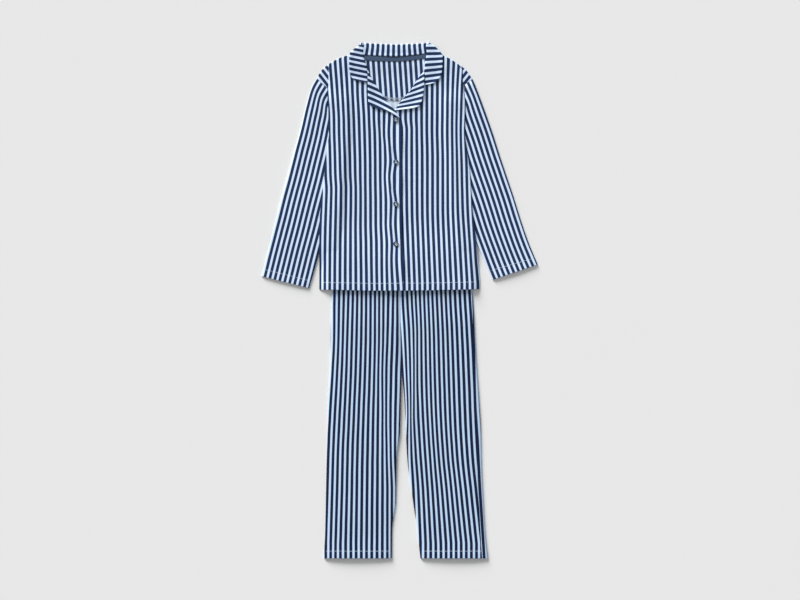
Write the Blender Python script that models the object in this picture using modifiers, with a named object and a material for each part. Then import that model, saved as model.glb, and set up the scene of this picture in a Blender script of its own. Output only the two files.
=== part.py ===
"""A child's striped pyjama set laid flat: trousers, and a long-sleeved top lying over their waist.

Modelled in millimetres and scaled to metres as each mesh is made. +Z is up, +Y points to the
collar, +X is the wearer's left side. The origin is the middle of the footprint, on the surface.
"""
import math
from collections import namedtuple

import bmesh
import bpy

MM = 0.001

# Cloth and seams
WALL = 1.3              # wall of one layer of cloth
FACING_WALL = 1.0       # wall of the back-neck facing and the tape
SEAM = 0.3              # gap between neighbouring pieces
LAPEL_WALL = 1.4        # turned-back front and collar leaves
LAYER = WALL + SEAM

# How high the top is carried by what lies under it
OVER_TROUSERS = 4.4
OVER_SLEEVE = 4.4
OVER_COLLAR_FALL = 1.6

# How far the upper panels stand off the lower ones
FRONT_RISE = 2.4
NECK_RISE = 1.45
HEM_RISE = 1.3
TUBE_RISE = 1.2
LEG_RISE = 2.0
LEG_FOLD_RISE = 1.0     # a soft fold runs down each leg near the inseam
LEG_FOLD_PLACE = 0.79   # its place from the outseam to the inseam
LEG_LINES = (0.0, 0.1, 0.28, 0.48, 0.66, 0.73, 0.79, 0.85, 0.93, 1.0)

LAP_START = -38.4       # the overlapping front begins to lift here
LAP_FULL = -24.5        # and lies wholly on the other front from here on
FOLD_WIDTH = 4.0        # width of the step where the shoulder pleat lies over its own cloth

WAIST_TOP = 90.0        # upper edge of the waistband, under the top
WAIST_BOTTOM = 58.0

BUTTON_DIAMETER = 12.0
BUTTON_HEIGHT = 2.6
BUTTON_HOLE_DIAMETER = 1.8
BUTTON_HOLE_SPACING = 3.2
BUTTON_X = -8.6
BUTTON_YS = (420.8, 322.7, 224.8, 131.9)

Edge = namedtuple("Edge", "y right left")
Leg = namedtuple("Leg", "y outer inner")
Ring = namedtuple("Ring", "outer_x outer_y inner_x inner_y")

# Side edges of the top's body. Above the armhole they follow the shoulder pleats' folds.
BODY = (
    Edge(620.0, -165.4, 148.0),
    Edge(552.0, -165.4, 148.0),
    Edge(495.0, -166.6, 149.2),
    Edge(456.0, -165.4, 152.6),
    Edge(421.0, -165.4, 152.0),
    Edge(386.0, -163.8, 151.2),
    Edge(350.0, -169.0, 157.3),
    Edge(304.0, -173.6, 163.0),
    Edge(250.0, -179.0, 166.4),
    Edge(199.0, -185.2, 170.5),
    Edge(158.0, -186.4, 176.0),
    Edge(118.0, -186.4, 180.0),
    Edge(75.0, -186.4, 184.0),
    Edge(48.0, -186.4, 187.0),
    Edge(15.0, -186.4, 186.4),
)

# Height stations across which the torso's cloth is laid
TORSO_YS = (607, 592, 579, 566, 552, 538, 520, 500, 479, 456, 430, 396, 352, 302, 246, 192,
            152, 121, 94, 62, 38, 14)

LEG_RIGHT = (
    Leg(WAIST_BOTTOM - SEAM, -155.6, 1.3),
    Leg(10.5, -157.3, 1.9),
    Leg(-68.7, -159.6, 2.8),
    Leg(-152.6, -161.2, 4.0),
    Leg(-222.5, -165.7, 2.6),
    Leg(-301.7, -167.1, 0.7),
    Leg(-367.0, -169.2, -7.2),
    Leg(-464.8, -171.3, -8.9),
    Leg(-534.7, -172.7, -17.7),
    Leg(-600.0, -175.9, -18.6),
)
LEG_LEFT = (
    Leg(WAIST_BOTTOM - SEAM, 169.0, 1.7),
    Leg(10.5, 171.3, 2.3),
    Leg(-68.7, 175.0, 3.3),
    Leg(-152.6, 179.6, 4.5),
    Leg(-222.5, 184.3, 11.4),
    Leg(-301.7, 189.0, 15.1),
    Leg(-371.6, 190.4, 18.9),
    Leg(-464.8, 194.6, 31.5),
    Leg(-534.7, 198.7, 41.7),
    Leg(-600.0, 205.0, 48.9),
)
WAIST = (
    Ring(-155.0, WAIST_TOP, 168.0, WAIST_TOP),
    Ring(-154.0, 74.0, 167.0, 74.0),
    Ring(-155.3, WAIST_BOTTOM, 168.5, WAIST_BOTTOM),
)
# Rings of each sleeve, from the armhole to the cuff
SLEEVE_RIGHT = (
    Ring(-192.5, 516.6, -167.9, 493.3),
    Ring(-203.9, 495.1, -166.6, 456.2),
    Ring(-217.9, 448.5, -145.6, 401.9),
    Ring(-229.5, 401.9, -136.3, 350.7),
    Ring(-244.7, 348.3, -141.0, 306.4),
    Ring(-258.6, 297.1, -151.5, 259.8),
    Ring(-273.8, 243.5, -164.3, 210.9),
    Ring(-288.9, 185.2, -177.1, 157.3),
    Ring(-304.1, 127.0, -191.1, 99.0),
    Ring(-321.5, 57.1, -210.9, 29.1),
)
SLEEVE_LEFT = (
    Ring(170.4, 515.0, 151.2, 501.9),
    Ring(182.9, 483.5, 153.8, 456.2),
    Ring(199.2, 439.2, 134.0, 401.9),
    Ring(215.5, 392.6, 125.8, 350.7),
    Ring(231.8, 341.3, 131.6, 306.4),
    Ring(248.1, 292.4, 142.1, 259.8),
    Ring(264.5, 243.5, 153.8, 210.9),
    Ring(281.9, 187.6, 168.9, 161.9),
    Ring(300.6, 134.0, 188.7, 113.0),
    Ring(321.5, 83.9, 217.2, 48.7),
)

# Outlines seen from above. Each runs from the neck outwards and down, or along the seam named.
SHOULDER_RIGHT = ((-87.4, 582.5), (-114.2, 572.5), (-138.6, 565.0), (-161.9, 552.2),
                  (-175.9, 541.7), (-185.2, 530.1), (-191.1, 518.4), (-166.6, 495.1))
SHOULDER_LEFT = ((67.6, 583.0), (96.7, 572.5), (117.7, 562.7), (141.0, 547.6),
                 (154.9, 537.1), (164.3, 523.1), (168.9, 516.1), (149.6, 503.3))
BACK_NECK = ((68.7, 569.7), (-10.5, 566.4), (-87.4, 569.7))
ROLL_RIGHT = ((-83.9, 569.7), (-80.4, 555.7), (-75.7, 541.7), (-68.7, 525.4), (-57.1, 504.4),
              (-45.4, 485.8), (-31.5, 467.2), (-19.8, 453.2), (-8.2, 439.2), (1.2, 422.9))
ROLL_LEFT = ((62.9, 565.0), (59.4, 553.4), (57.1, 534.7), (47.8, 523.1), (38.4, 509.1),
             (26.8, 490.5), (12.8, 474.2), (-1.2, 457.8), (-10.5, 443.9), (-19.8, 429.9))
FRONT_EDGE_RIGHT = ((5.8, 411.2), (5.8, 141.0), (9.3, 117.7), (12.8, 38.4), (13.3, 23.8))
FRONT_EDGE_LEFT = ((-23.3, 411.2), (-23.3, 141.0), (-19.8, 106.0), (-16.3, 23.8))
HEM_RIGHT = ((-60.0, 23.3), (-130.0, 24.8), (-186.4, 25.6))
HEM_LEFT = ((60.0, 24.0), (130.0, 25.5), (186.4, 26.8))

LAPEL_RIGHT = ((-74.1, 538.9),) + ROLL_RIGHT[3:9] + (
    (1.2, 421.9), (-1.0, 424.6), (-8.2, 428.6), (-22.1, 438.0), (-36.1, 442.7), (-54.8, 448.5),
    (-68.7, 455.5), (-72.7, 467.2), (-73.4, 485.8), (-73.6, 505.6))
LAPEL_LEFT = ((57.6, 535.2),) + ROLL_LEFT[3:8] + (
    (-8.2, 446.2), (-3.5, 441.5), (12.8, 446.2), (33.8, 448.5), (45.4, 453.2), (50.1, 460.2),
    (53.6, 471.8), (55.9, 485.8), (57.6, 502.1))

COLLAR_LEAF_RIGHT = ((-74.4, 507.5), (-96.7, 511.4), (-106.0, 514.9), (-113.0, 523.1),
                     (-115.8, 534.7), (-117.0, 546.4), (-116.5, 565.0), (-115.3, 575.5))
COLLAR_TOP = ((-99.0, 590.7), (-85.0, 600.0), (-47.8, 598.1), (-10.5, 596.5),
              (26.8, 597.6), (65.2, 600.0), (73.4, 597.6), (94.4, 579.0))
COLLAR_LEAF_LEFT = ((100.2, 569.7), (100.2, 555.7), (99.0, 537.1), (96.7, 525.4),
                    (92.0, 516.1), (80.4, 506.8), (66.4, 502.1), (58.2, 502.1))
COLLAR_INNER = ((58.2, 537.1), (59.4, 553.4), (62.2, 565.0), (63.6, 576.4), (26.8, 572.0),
                (-10.5, 569.5), (-47.8, 570.4), (-83.2, 572.9), (-82.7, 565.0),
                (-79.9, 555.7), (-74.9, 541.7))
COLLAR_FALL = ((-109.5, 580.2), (-85.0, 600.0), (-10.5, 596.5), (65.2, 600.0), (93.2, 580.2),
               (89.7, 560.4), (47.8, 556.9), (-10.5, 555.7), (-64.1, 556.9), (-106.0, 560.4))
COLLAR_FOLD = COLLAR_FALL[:5] + ((91.2, 579.2), (64.4, 598.0), (-10.5, 594.5), (-84.0, 598.0),
                                 (-108.0, 578.6))

FACING = ((-89.7, 566.1), (-87.4, 541.7), (-78.1, 513.8), (-61.7, 490.5), (-43.1, 475.3),
          (-24.5, 468.8), (-10.5, 467.2), (5.8, 468.8), (22.1, 476.5), (40.8, 492.8),
          (57.1, 516.1), (66.4, 544.1), (68.7, 566.1))
TAPE = ((-82.2, 571.3), (-47.8, 569.0), (-10.5, 567.8), (26.8, 570.4), (62.2, 575.0),
        (61.0, 564.1), (26.8, 559.7), (-10.5, 556.6), (-47.8, 557.6), (-79.9, 559.4))

# Colour, roughness and metallic value of each kind of piece
CLOTH_TOP = ((0.21, 0.28, 0.42, 1.0), 0.85, 0.0)
CLOTH_TROUSERS = ((0.14, 0.19, 0.32, 1.0), 0.85, 0.0)
CLOTH_FACING = ((0.24, 0.31, 0.45, 1.0), 0.85, 0.0)
TAPE_NAVY = ((0.05, 0.09, 0.18, 1.0), 0.8, 0.0)
BUTTON_PLASTIC = ((0.10, 0.14, 0.24, 1.0), 0.35, 0.0)


def smooth(value):
    """Ease from 0 to 1."""
    value = min(max(value, 0.0), 1.0)
    return value * value * (3.0 - 2.0 * value)


def mix(low, high, amount):
    return low + (high - low) * amount


def side_edges(y):
    """The body's side edges, read along its table at y."""
    for upper, lower in zip(BODY, BODY[1:]):
        if y >= lower.y:
            amount = (upper.y - y) / (upper.y - lower.y)
            return mix(upper.right, lower.right, amount), mix(upper.left, lower.left, amount)
    return BODY[-1].right, BODY[-1].left


def torso_xs(y):
    """Where the lengthwise lines of the torso's cloth cross height y."""
    right, left = side_edges(y)
    insets = (-30, -0.5, FOLD_WIDTH - 0.5, 11, 20, 37, 60)
    middle = [-82, -64, LAP_START, LAP_FULL, 6, 28, 48, 64]
    return [right + inset for inset in insets] + middle + [left - inset for inset in insets[::-1]]


def base(x, y):
    """Underside of the back: on the surface, or carried by trousers, sleeves or collar."""
    right, left = side_edges(y)
    inside = min(x - right, left - x)
    past_edges = min(smooth((x - right - 1) / 18), smooth((left - x - 1) / 9))
    waist = OVER_TROUSERS * smooth((121 - y) / 27) * past_edges
    along_sleeve = smooth((501 - y) / 44) * smooth((y - 92) / 28)
    sleeve = OVER_SLEEVE * along_sleeve * smooth((60 - inside) / 22)
    collar = OVER_COLLAR_FALL * smooth((y - 520) / 32) * smooth((inside - 19) / 17)
    return max(waist, sleeve, collar)


def rise(x, y):
    """How far the fronts stand off the back.

    They come down to the side seams, are flat at the hem, and above the armholes step down
    from the pleats' folds to the shoulders.
    """
    right, left = side_edges(y)
    inside = min(x - right, left - x)
    hem = HEM_RISE * smooth(inside / 25)
    chest = FRONT_RISE * smooth(inside / 60)
    shoulder = NECK_RISE * smooth((inside - 0.5) / (FOLD_WIDTH - 1))
    return mix(hem, mix(chest, shoulder, smooth((y - 430) / 60)), smooth((y - 14) / 100))


def lap(x, y):
    """Lift of the overlapping front where it lies on the other one."""
    return LAYER if x >= LAP_FULL else 0.0


def back_high(x, y):
    return base(x, y) + WALL


def front_low(x, y):
    return base(x, y) + LAYER + rise(x, y)


def front_high(x, y):
    return front_low(x, y) + WALL


def lapped_low(x, y):
    return front_low(x, y) + lap(x, y)


def lapped_high(x, y):
    return lapped_low(x, y) + WALL


def facing_low(x, y):
    return back_high(x, y) + SEAM


def facing_high(x, y):
    return facing_low(x, y) + FACING_WALL


def tape_low(x, y):
    return facing_high(x, y) + SEAM


def tape_high(x, y):
    return tape_low(x, y) + FACING_WALL


def lapel_right_low(x, y):
    return lapped_high(x, y) + SEAM


def lapel_right_high(x, y):
    return lapel_right_low(x, y) + LAPEL_WALL


def collar_low(x, y):
    """Over the fronts at the leaves, and lower behind the neck, where there is no front."""
    behind_neck = smooth((y - 566) / 12) * (1.0 if -72 < x < 60 else 0.0)
    return front_high(x, y) + SEAM - LAYER * behind_neck


def collar_high(x, y):
    return collar_low(x, y) + LAPEL_WALL


def collar_mid(x, y):
    return collar_low(x, y) + LAPEL_WALL / 2


def ground(x, y):
    return 0.0


def make_material(name, look):
    colour, roughness, metallic = look
    material = bpy.data.materials.new(name)
    material.use_nodes = True
    shader = material.node_tree.nodes["Principled BSDF"]
    shader.inputs["Base Color"].default_value = colour
    shader.inputs["Roughness"].default_value = roughness
    shader.inputs["Metallic"].default_value = metallic
    return material


def add_object(name, shape, collection, look=None):
    """Turn a bmesh in millimetres into an object in metres."""
    bmesh.ops.scale(shape, vec=(MM, MM, MM), verts=shape.verts)
    bmesh.ops.recalc_face_normals(shape, faces=shape.faces)
    mesh = bpy.data.meshes.new(name)
    shape.to_mesh(mesh)
    shape.free()
    piece = bpy.data.objects.new(name, mesh)
    collection.objects.link(piece)
    if look:
        mesh.materials.append(make_material(name, look))
        mesh.shade_smooth()
        mesh.set_sharp_from_angle(angle=math.radians(40))
    else:
        piece.hide_render = True
        piece.display_type = 'WIRE'
    return piece


def grid(columns, rows, place):
    """A grid of quads whose points place(column, row) gives."""
    shape = bmesh.new()
    bmesh.ops.create_grid(shape, x_segments=columns, y_segments=rows, size=0.5)
    for vert in shape.verts:
        column = round((vert.co.x + 0.5) * columns)
        row = round((vert.co.y + 0.5) * rows)
        vert.co = place(column, row)
    return shape


def thicken(shape, top):
    """Close a sheet into a wall: its copy is lifted to the height top(x, y) gives."""
    made = bmesh.ops.extrude_face_region(shape, geom=shape.faces[:], use_keep_orig=True)
    for item in made["geom"]:
        if isinstance(item, bmesh.types.BMVert):
            item.co.z = top(item.co.x, item.co.y)
    return shape


def torso_layer(low, high):
    """One layer over the whole torso, between two heights, on the torso's shared lines."""
    rows = len(TORSO_YS) - 1
    columns = len(torso_xs(TORSO_YS[0])) - 1

    def place(column, row):
        y = TORSO_YS[row]
        x = torso_xs(y)[column]
        return x, y, low(x, y)

    return thicken(grid(columns, rows, place), high)


def prism(outline, bottom=-20.0, top=40.0):
    """An outline extruded upwards."""
    shape = bmesh.new()
    verts = [shape.verts.new((x, y, bottom)) for x, y in outline]
    face = shape.faces.new(verts)
    made = bmesh.ops.extrude_face_region(shape, geom=[face], use_keep_orig=True)
    lifted = [item for item in made["geom"] if isinstance(item, bmesh.types.BMVert)]
    bmesh.ops.translate(shape, vec=(0, 0, top - bottom), verts=lifted)
    return shape


def boolean(piece, other, operation):
    modifier = piece.modifiers.new(operation.lower() + "_" + other.name, 'BOOLEAN')
    modifier.operation = operation
    modifier.solver = 'EXACT'
    modifier.object = other


def cut_panel(name, outline, low, high, look, parts, cutters):
    """A torso piece: a layer trimmed to its outline."""
    piece = add_object(name, torso_layer(low, high), parts, look)
    boolean(piece, add_object(name + "_outline", prism(outline), cutters), 'INTERSECT')
    return piece


def body_side(side):
    """Side edge of the body from the armhole down to the hem."""
    rows = [edge for edge in BODY if 30.0 < edge.y < 495.0]
    return tuple((getattr(edge, side), edge.y) for edge in rows)


def make_torso(parts, cutters):
    side_right, side_left = body_side("right"), body_side("left")
    hem_back = HEM_RIGHT[::-1] + HEM_LEFT
    back = SHOULDER_RIGHT + side_right + hem_back + side_left[::-1] + SHOULDER_LEFT[::-1] + BACK_NECK
    cut_panel("back", back, base, back_high, CLOTH_TOP, parts, cutters)

    front_left = SHOULDER_LEFT + side_left + HEM_LEFT[::-1] + FRONT_EDGE_LEFT[::-1] + ROLL_LEFT[::-1]
    cut_panel("front_left", front_left, front_low, front_high, CLOTH_TOP, parts, cutters)

    front_right = SHOULDER_RIGHT + side_right + HEM_RIGHT[::-1] + FRONT_EDGE_RIGHT[::-1] + ROLL_RIGHT[::-1]
    cut_panel("front_right", front_right, lapped_low, lapped_high, CLOTH_TOP, parts, cutters)

    cut_panel("back_neck_facing", FACING, facing_low, facing_high, CLOTH_FACING, parts, cutters)
    cut_panel("neck_tape", TAPE, tape_low, tape_high, TAPE_NAVY, parts, cutters)
    cut_panel("lapel_right", LAPEL_RIGHT, lapel_right_low, lapel_right_high, CLOTH_FACING, parts,
              cutters)
    cut_panel("lapel_left", LAPEL_LEFT, collar_low, collar_high, CLOTH_FACING, parts, cutters)


def make_collar(parts, cutters):
    """The leaves and stand in one sheet, folded down at the top edge to the fall behind the back."""
    outline = COLLAR_LEAF_RIGHT + COLLAR_TOP + COLLAR_LEAF_LEFT + COLLAR_INNER
    collar = cut_panel("collar", outline, collar_low, collar_high, CLOTH_TOP, parts, cutters)
    fold = add_object("collar_fold", torso_layer(ground, collar_mid), cutters)
    boolean(fold, add_object("collar_fold_outline", prism(COLLAR_FOLD), cutters), 'INTERSECT')
    fall = add_object("collar_fall", prism(COLLAR_FALL, 0.0, WALL), cutters)
    boolean(fold, fall, 'UNION')
    boolean(collar, fold, 'UNION')


def tube_ring(ring, rise_at, columns):
    """Outer and inner loops of a flattened tube at one ring: under side out, upper side back."""
    outer_loop, inner_loop = [], []

    def across(amount, z):
        return mix(ring.outer_x, ring.inner_x, amount), mix(ring.outer_y, ring.inner_y, amount), z

    width = math.hypot(ring.inner_x - ring.outer_x, ring.inner_y - ring.outer_y)
    edge = WALL / width
    inset = 0.9 * WALL / width
    steps = [index / columns for index in range(columns + 1)]
    for step in steps:
        outer_loop.append(across(mix(inset, 1 - inset, step), 0.0))
        inner_loop.append(across(mix(2 * edge, 1 - 2 * edge, step), WALL))
    outer_loop.append(across(1.0, WALL + SEAM / 2))
    inner_loop.append(across(1 - edge, WALL + SEAM / 2))
    for step in reversed(steps):
        hollow = SEAM + rise_at(step)
        outer_loop.append(across(mix(inset, 1 - inset, step), 2 * WALL + hollow))
        inner_loop.append(across(mix(2 * edge, 1 - 2 * edge, step), WALL + hollow))
    outer_loop.append(across(0.0, WALL + SEAM / 2))
    inner_loop.append(across(edge, WALL + SEAM / 2))
    return outer_loop, inner_loop


def make_tube(name, rings, rise_at, columns, look, parts):
    """A flattened tube of cloth, open at both ends, lofted through its rings."""
    shape = bmesh.new()
    loops = []
    for ring in rings:
        outer_loop, inner_loop = tube_ring(ring, rise_at, columns)
        loops.append([[shape.verts.new(point) for point in loop] for loop in (outer_loop, inner_loop)])
    count = len(loops[0][0])
    for this, following in zip(loops, loops[1:]):
        for wall in (0, 1):
            for index in range(count):
                after = (index + 1) % count
                shape.faces.new((this[wall][index], this[wall][after], following[wall][after],
                                 following[wall][index]))
    for outer_loop, inner_loop in (loops[0], loops[-1]):
        for index in range(count):
            after = (index + 1) % count
            shape.faces.new((outer_loop[index], outer_loop[after], inner_loop[after],
                             inner_loop[index]))
    return add_object(name, shape, parts, look)


def tube_rise(step):
    return TUBE_RISE * math.sin(math.pi * step) ** 0.5 if 0 < step < 1 else 0.0


def make_leg(side, rows, parts):
    """Front and back panels of one leg, meeting along the outseam and the inseam."""
    columns = len(LEG_LINES) - 1

    def rise_of(step, y):
        """Flat at the seams, low where the top lies over the waist, folded down the thigh."""
        free = smooth((10 - y) / 60)
        rounded = math.sin(math.pi * step) ** 0.6 if 0 < step < 1 else 0.0
        fold = LEG_FOLD_RISE * smooth((-y - 40) / 60) * smooth((y + 470) / 120)
        folded = fold * math.exp(-((step - LEG_FOLD_PLACE) / 0.05) ** 2)
        return mix(HEM_RISE - 0.3, LEG_RISE, free) * rounded + folded

    def place_back(column, row):
        leg = rows[row]
        return mix(leg.outer, leg.inner, LEG_LINES[column]), leg.y, 0.0

    def place_front(column, row):
        x, y, _ = place_back(column, row)
        return x, y, LAYER + rise_of(LEG_LINES[column], y)

    def lift(shape):
        made = bmesh.ops.extrude_face_region(shape, geom=shape.faces[:], use_keep_orig=True)
        lifted = [item for item in made["geom"] if isinstance(item, bmesh.types.BMVert)]
        bmesh.ops.translate(shape, vec=(0, 0, WALL), verts=lifted)
        return shape

    back = grid(columns, len(rows) - 1, place_back)
    add_object("leg_back_" + side, lift(back), parts, CLOTH_TROUSERS)
    front = grid(columns, len(rows) - 1, place_front)
    add_object("leg_front_" + side, lift(front), parts, CLOTH_TROUSERS)


def finer(rows):
    """A row between each two rows, so that the cloth's curve is followed."""
    kind = type(rows[0])
    result = [rows[0]]
    for upper, lower in zip(rows, rows[1:]):
        result.append(kind(*((a + b) / 2 for a, b in zip(upper, lower))))
        result.append(lower)
    return result


def button_profile():
    """Half section of a button, from the middle of its top to the middle of its underside."""
    radius = BUTTON_DIAMETER / 2
    dish, rim = BUTTON_HEIGHT - 0.7, BUTTON_HEIGHT
    return ((0.0, dish), (radius * 0.55, dish), (radius * 0.72, rim - 0.1), (radius * 0.86, rim),
            (radius * 0.97, rim - 0.5), (radius, rim / 2), (radius * 0.9, 0.25), (radius * 0.7, 0.0),
            (0.0, 0.0))


def make_button(name, y, parts, cutters):
    """A turned four-hole button lying on the placket."""
    shape = bmesh.new()
    verts = [shape.verts.new((x * MM, 0.0, z * MM)) for x, z in button_profile()]
    for first, second in zip(verts, verts[1:]):
        shape.edges.new((first, second))
    mesh = bpy.data.meshes.new(name)
    shape.to_mesh(mesh)
    shape.free()
    mesh.materials.append(make_material(name, BUTTON_PLASTIC))
    button = bpy.data.objects.new(name, mesh)
    parts.objects.link(button)
    reach = BUTTON_DIAMETER / 2
    seat = max(lapped_high(BUTTON_X, y + step * reach) for step in (-1, 0, 1)) + SEAM
    button.location = (BUTTON_X * MM, y * MM, seat * MM)
    turn = button.modifiers.new("turn", 'SCREW')
    turn.steps = 20
    turn.render_steps = 20
    turn.use_merge_vertices = True
    turn.merge_threshold = 0.00001
    turn.use_smooth_shade = True
    half = BUTTON_HOLE_SPACING / 2
    for index, (dx, dy) in enumerate(((-half, -half), (half, -half), (half, half), (-half, half))):
        hole = bmesh.new()
        bmesh.ops.create_cone(hole, cap_ends=True, segments=8, radius1=BUTTON_HOLE_DIAMETER / 2,
                              radius2=BUTTON_HOLE_DIAMETER / 2, depth=3 * BUTTON_HEIGHT)
        bmesh.ops.translate(hole, vec=(BUTTON_X + dx, y + dy, seat), verts=hole.verts)
        boolean(button, add_object(f"{name}_hole_{index + 1}", hole, cutters), 'DIFFERENCE')


def main():
    for item in list(bpy.data.objects):
        bpy.data.objects.remove(item, do_unlink=True)
    parts = bpy.data.collections.new("Pyjama set")
    cutters = bpy.data.collections.new("Cutters")
    for collection in (parts, cutters):
        bpy.context.scene.collection.children.link(collection)

    make_leg("right", finer(LEG_RIGHT), parts)
    make_leg("left", finer(LEG_LEFT), parts)
    make_tube("waistband", WAIST, tube_rise, 8, CLOTH_TROUSERS, parts)
    make_torso(parts, cutters)
    make_collar(parts, cutters)
    make_tube("sleeve_right", finer(SLEEVE_RIGHT), tube_rise, 6, CLOTH_TOP, parts)
    make_tube("sleeve_left", finer(SLEEVE_LEFT), tube_rise, 6, CLOTH_TOP, parts)
    for index, y in enumerate(BUTTON_YS):
        make_button(f"button_{index + 1}", y, parts, cutters)


main()
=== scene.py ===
"""A child's striped pyjama set laid flat: trousers, and a long-sleeved top lying over their waist.

Sizes in the tables are millimetres and become metres as each mesh is made. +Z is up, +Y points
to the collar and +X is the wearer's left side. Heights follow the way the set is laid: trousers
first, then the top's back, its fronts, and the collar on them.
"""
import math
from collections import namedtuple

import bmesh
import bpy
import numpy as np
from bpy.props import FloatProperty, FloatVectorProperty, PointerProperty
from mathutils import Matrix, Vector


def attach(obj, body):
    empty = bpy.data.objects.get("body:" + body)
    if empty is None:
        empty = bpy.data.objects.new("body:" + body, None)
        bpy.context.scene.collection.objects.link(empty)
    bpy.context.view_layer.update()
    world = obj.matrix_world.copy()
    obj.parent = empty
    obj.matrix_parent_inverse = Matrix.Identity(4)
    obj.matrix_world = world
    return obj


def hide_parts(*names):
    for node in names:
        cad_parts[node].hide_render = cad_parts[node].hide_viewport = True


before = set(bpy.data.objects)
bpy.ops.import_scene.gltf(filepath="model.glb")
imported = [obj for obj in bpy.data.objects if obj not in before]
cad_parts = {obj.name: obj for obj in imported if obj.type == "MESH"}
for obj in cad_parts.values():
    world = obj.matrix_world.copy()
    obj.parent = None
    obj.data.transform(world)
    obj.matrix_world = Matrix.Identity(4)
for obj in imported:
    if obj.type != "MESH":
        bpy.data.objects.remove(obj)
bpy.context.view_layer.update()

bl_info = {
    "name": "Pyjama Set",
    "version": (1, 0, 0),
    "blender": (4, 5, 0),
    "location": "View3D > Sidebar > Pyjama Set",
    "description": "Makes a striped pyjama set laid flat, piece by piece",
    "category": "Add Mesh",
}

MM = 0.001
BODY = "root"
VIEW_CENTRE = (0.0012, 0.0012)      # point under the camera, in metres

# Layers of cloth, as the solids have them
WALL = 1.3
FACING_WALL = 1.0
COLLAR_WALL = 1.4
SEAM = 0.3
LAYER = WALL + SEAM
CLOTH = 0.9                 # thickness of the cloth that shows
ON_BACK = LAYER + WALL / 2                      # up to the middle of the layer on the back
ON_FRONT = WALL / 2 + SEAM + COLLAR_WALL / 2    # from a front's middle to the collar's
ON_FACING = WALL + SEAM + FACING_WALL / 2       # up to the middle of the half-moon

# How much higher the top's back lies where something is under it
OVER_TROUSERS = 4.4
OVER_SLEEVE = 4.4
OVER_COLLAR_FALL = 1.6

# How far the fronts stand off the back, the legs' fronts off theirs, and a sleeve's upper face
FRONT_RISE = 2.4
NECK_RISE = 1.45
HEM_RISE = 2.9
LEG_RISE = 3.6
SLEEVE_RISE = 1.6
SLEEVE_CROWN = 0.9          # how much more a sleeve rises along its middle
TUBE_SIDE = 1.45            # height of the folds of a flattened tube
FOLD_WIDTH = 4.0            # how far in from a side fold the front reaches its rise

# Places and sizes of the cut
LAP_START = -38.4           # the overlapping front climbs on the other one from here
LAP_FULL = -24.5            # to here
PLEAT_RIGHT = -165.4        # folds of the two shoulder pleats
PLEAT_LEFT = 148.0
BODY_HEM = 24.0             # where the top's rows start, before the hem's slant
WAIST_TOP = 90.0
WAIST_BOTTOM = 58.0
LEG_TOP = 57.4
LEG_HEM = -600.0
HEM_DEPTH = 16.5
FACING_REACH = 28.0         # how far in from the front edge the cloth is double
STRIPE = 12.1               # one navy and one pale stripe together
GATHERED_STRIPE = 11.0      # the same where the waistband gathers the cloth
BUTTON_X = -8.6
BUTTON_YS = (420.8, 322.7, 224.8, 131.9)
HOLE_REACH = 2.25           # from a button's middle to its holes
HOLE_RADIUS = 0.85

# Radius of each kind of rolled or folded edge
SIDE_ROLL = 2.8
FRONT_ROLL = 2.6
FREE_ROLL = 1.6
SLEEVE_ROLL = 2.0
TROUSER_ROLL = 3.0

INSETS = np.array((0.0, 0.35, 0.9, 1.8, 3.2))   # lines of cloth kept close to each edge
RIM = 0.42                  # reach of a rounded edge past its last line, in walls
TINY = 1e-9
SAME_PLACE = 0.000002       # points nearer than this, in metres, are one

Edge = namedtuple("Edge", "y right left")
Leg = namedtuple("Leg", "y outer inner")
Ring = namedtuple("Ring", "outer_x outer_y inner_x inner_y")

# Side edges of the top's body. Above the armhole they follow the shoulder pleats' folds.
BODY_EDGES = (
    Edge(620.0, -165.4, 148.0),
    Edge(552.0, -165.4, 148.0),
    Edge(495.0, -166.6, 149.2),
    Edge(456.0, -165.4, 152.6),
    Edge(421.0, -165.4, 152.0),
    Edge(386.0, -163.8, 151.2),
    Edge(350.0, -169.0, 157.3),
    Edge(304.0, -173.6, 163.0),
    Edge(250.0, -179.0, 166.4),
    Edge(199.0, -185.2, 170.5),
    Edge(158.0, -186.4, 176.0),
    Edge(118.0, -186.4, 180.0),
    Edge(75.0, -186.4, 184.0),
    Edge(48.0, -186.4, 187.0),
    Edge(15.0, -186.4, 186.4),
)
LEG_RIGHT = (
    Leg(57.7, -155.6, 1.3),
    Leg(10.5, -157.3, 1.9),
    Leg(-68.7, -159.6, 2.8),
    Leg(-152.6, -161.2, 4.0),
    Leg(-222.5, -165.7, 2.6),
    Leg(-301.7, -167.1, 0.7),
    Leg(-367.0, -169.2, -7.2),
    Leg(-464.8, -171.3, -8.9),
    Leg(-534.7, -172.7, -17.7),
    Leg(-600.0, -175.9, -18.6),
)
LEG_LEFT = (
    Leg(57.7, 169.0, 1.7),
    Leg(10.5, 171.3, 2.3),
    Leg(-68.7, 175.0, 3.3),
    Leg(-152.6, 179.6, 4.5),
    Leg(-222.5, 184.3, 11.4),
    Leg(-301.7, 189.0, 15.1),
    Leg(-371.6, 190.4, 18.9),
    Leg(-464.8, 194.6, 31.5),
    Leg(-534.7, 198.7, 41.7),
    Leg(-600.0, 205.0, 48.9),
)
WAIST = (
    Ring(-155.0, WAIST_TOP, 168.0, WAIST_TOP),
    Ring(-154.0, 74.0, 167.0, 74.0),
    Ring(-155.3, WAIST_BOTTOM, 168.5, WAIST_BOTTOM),
)
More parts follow.
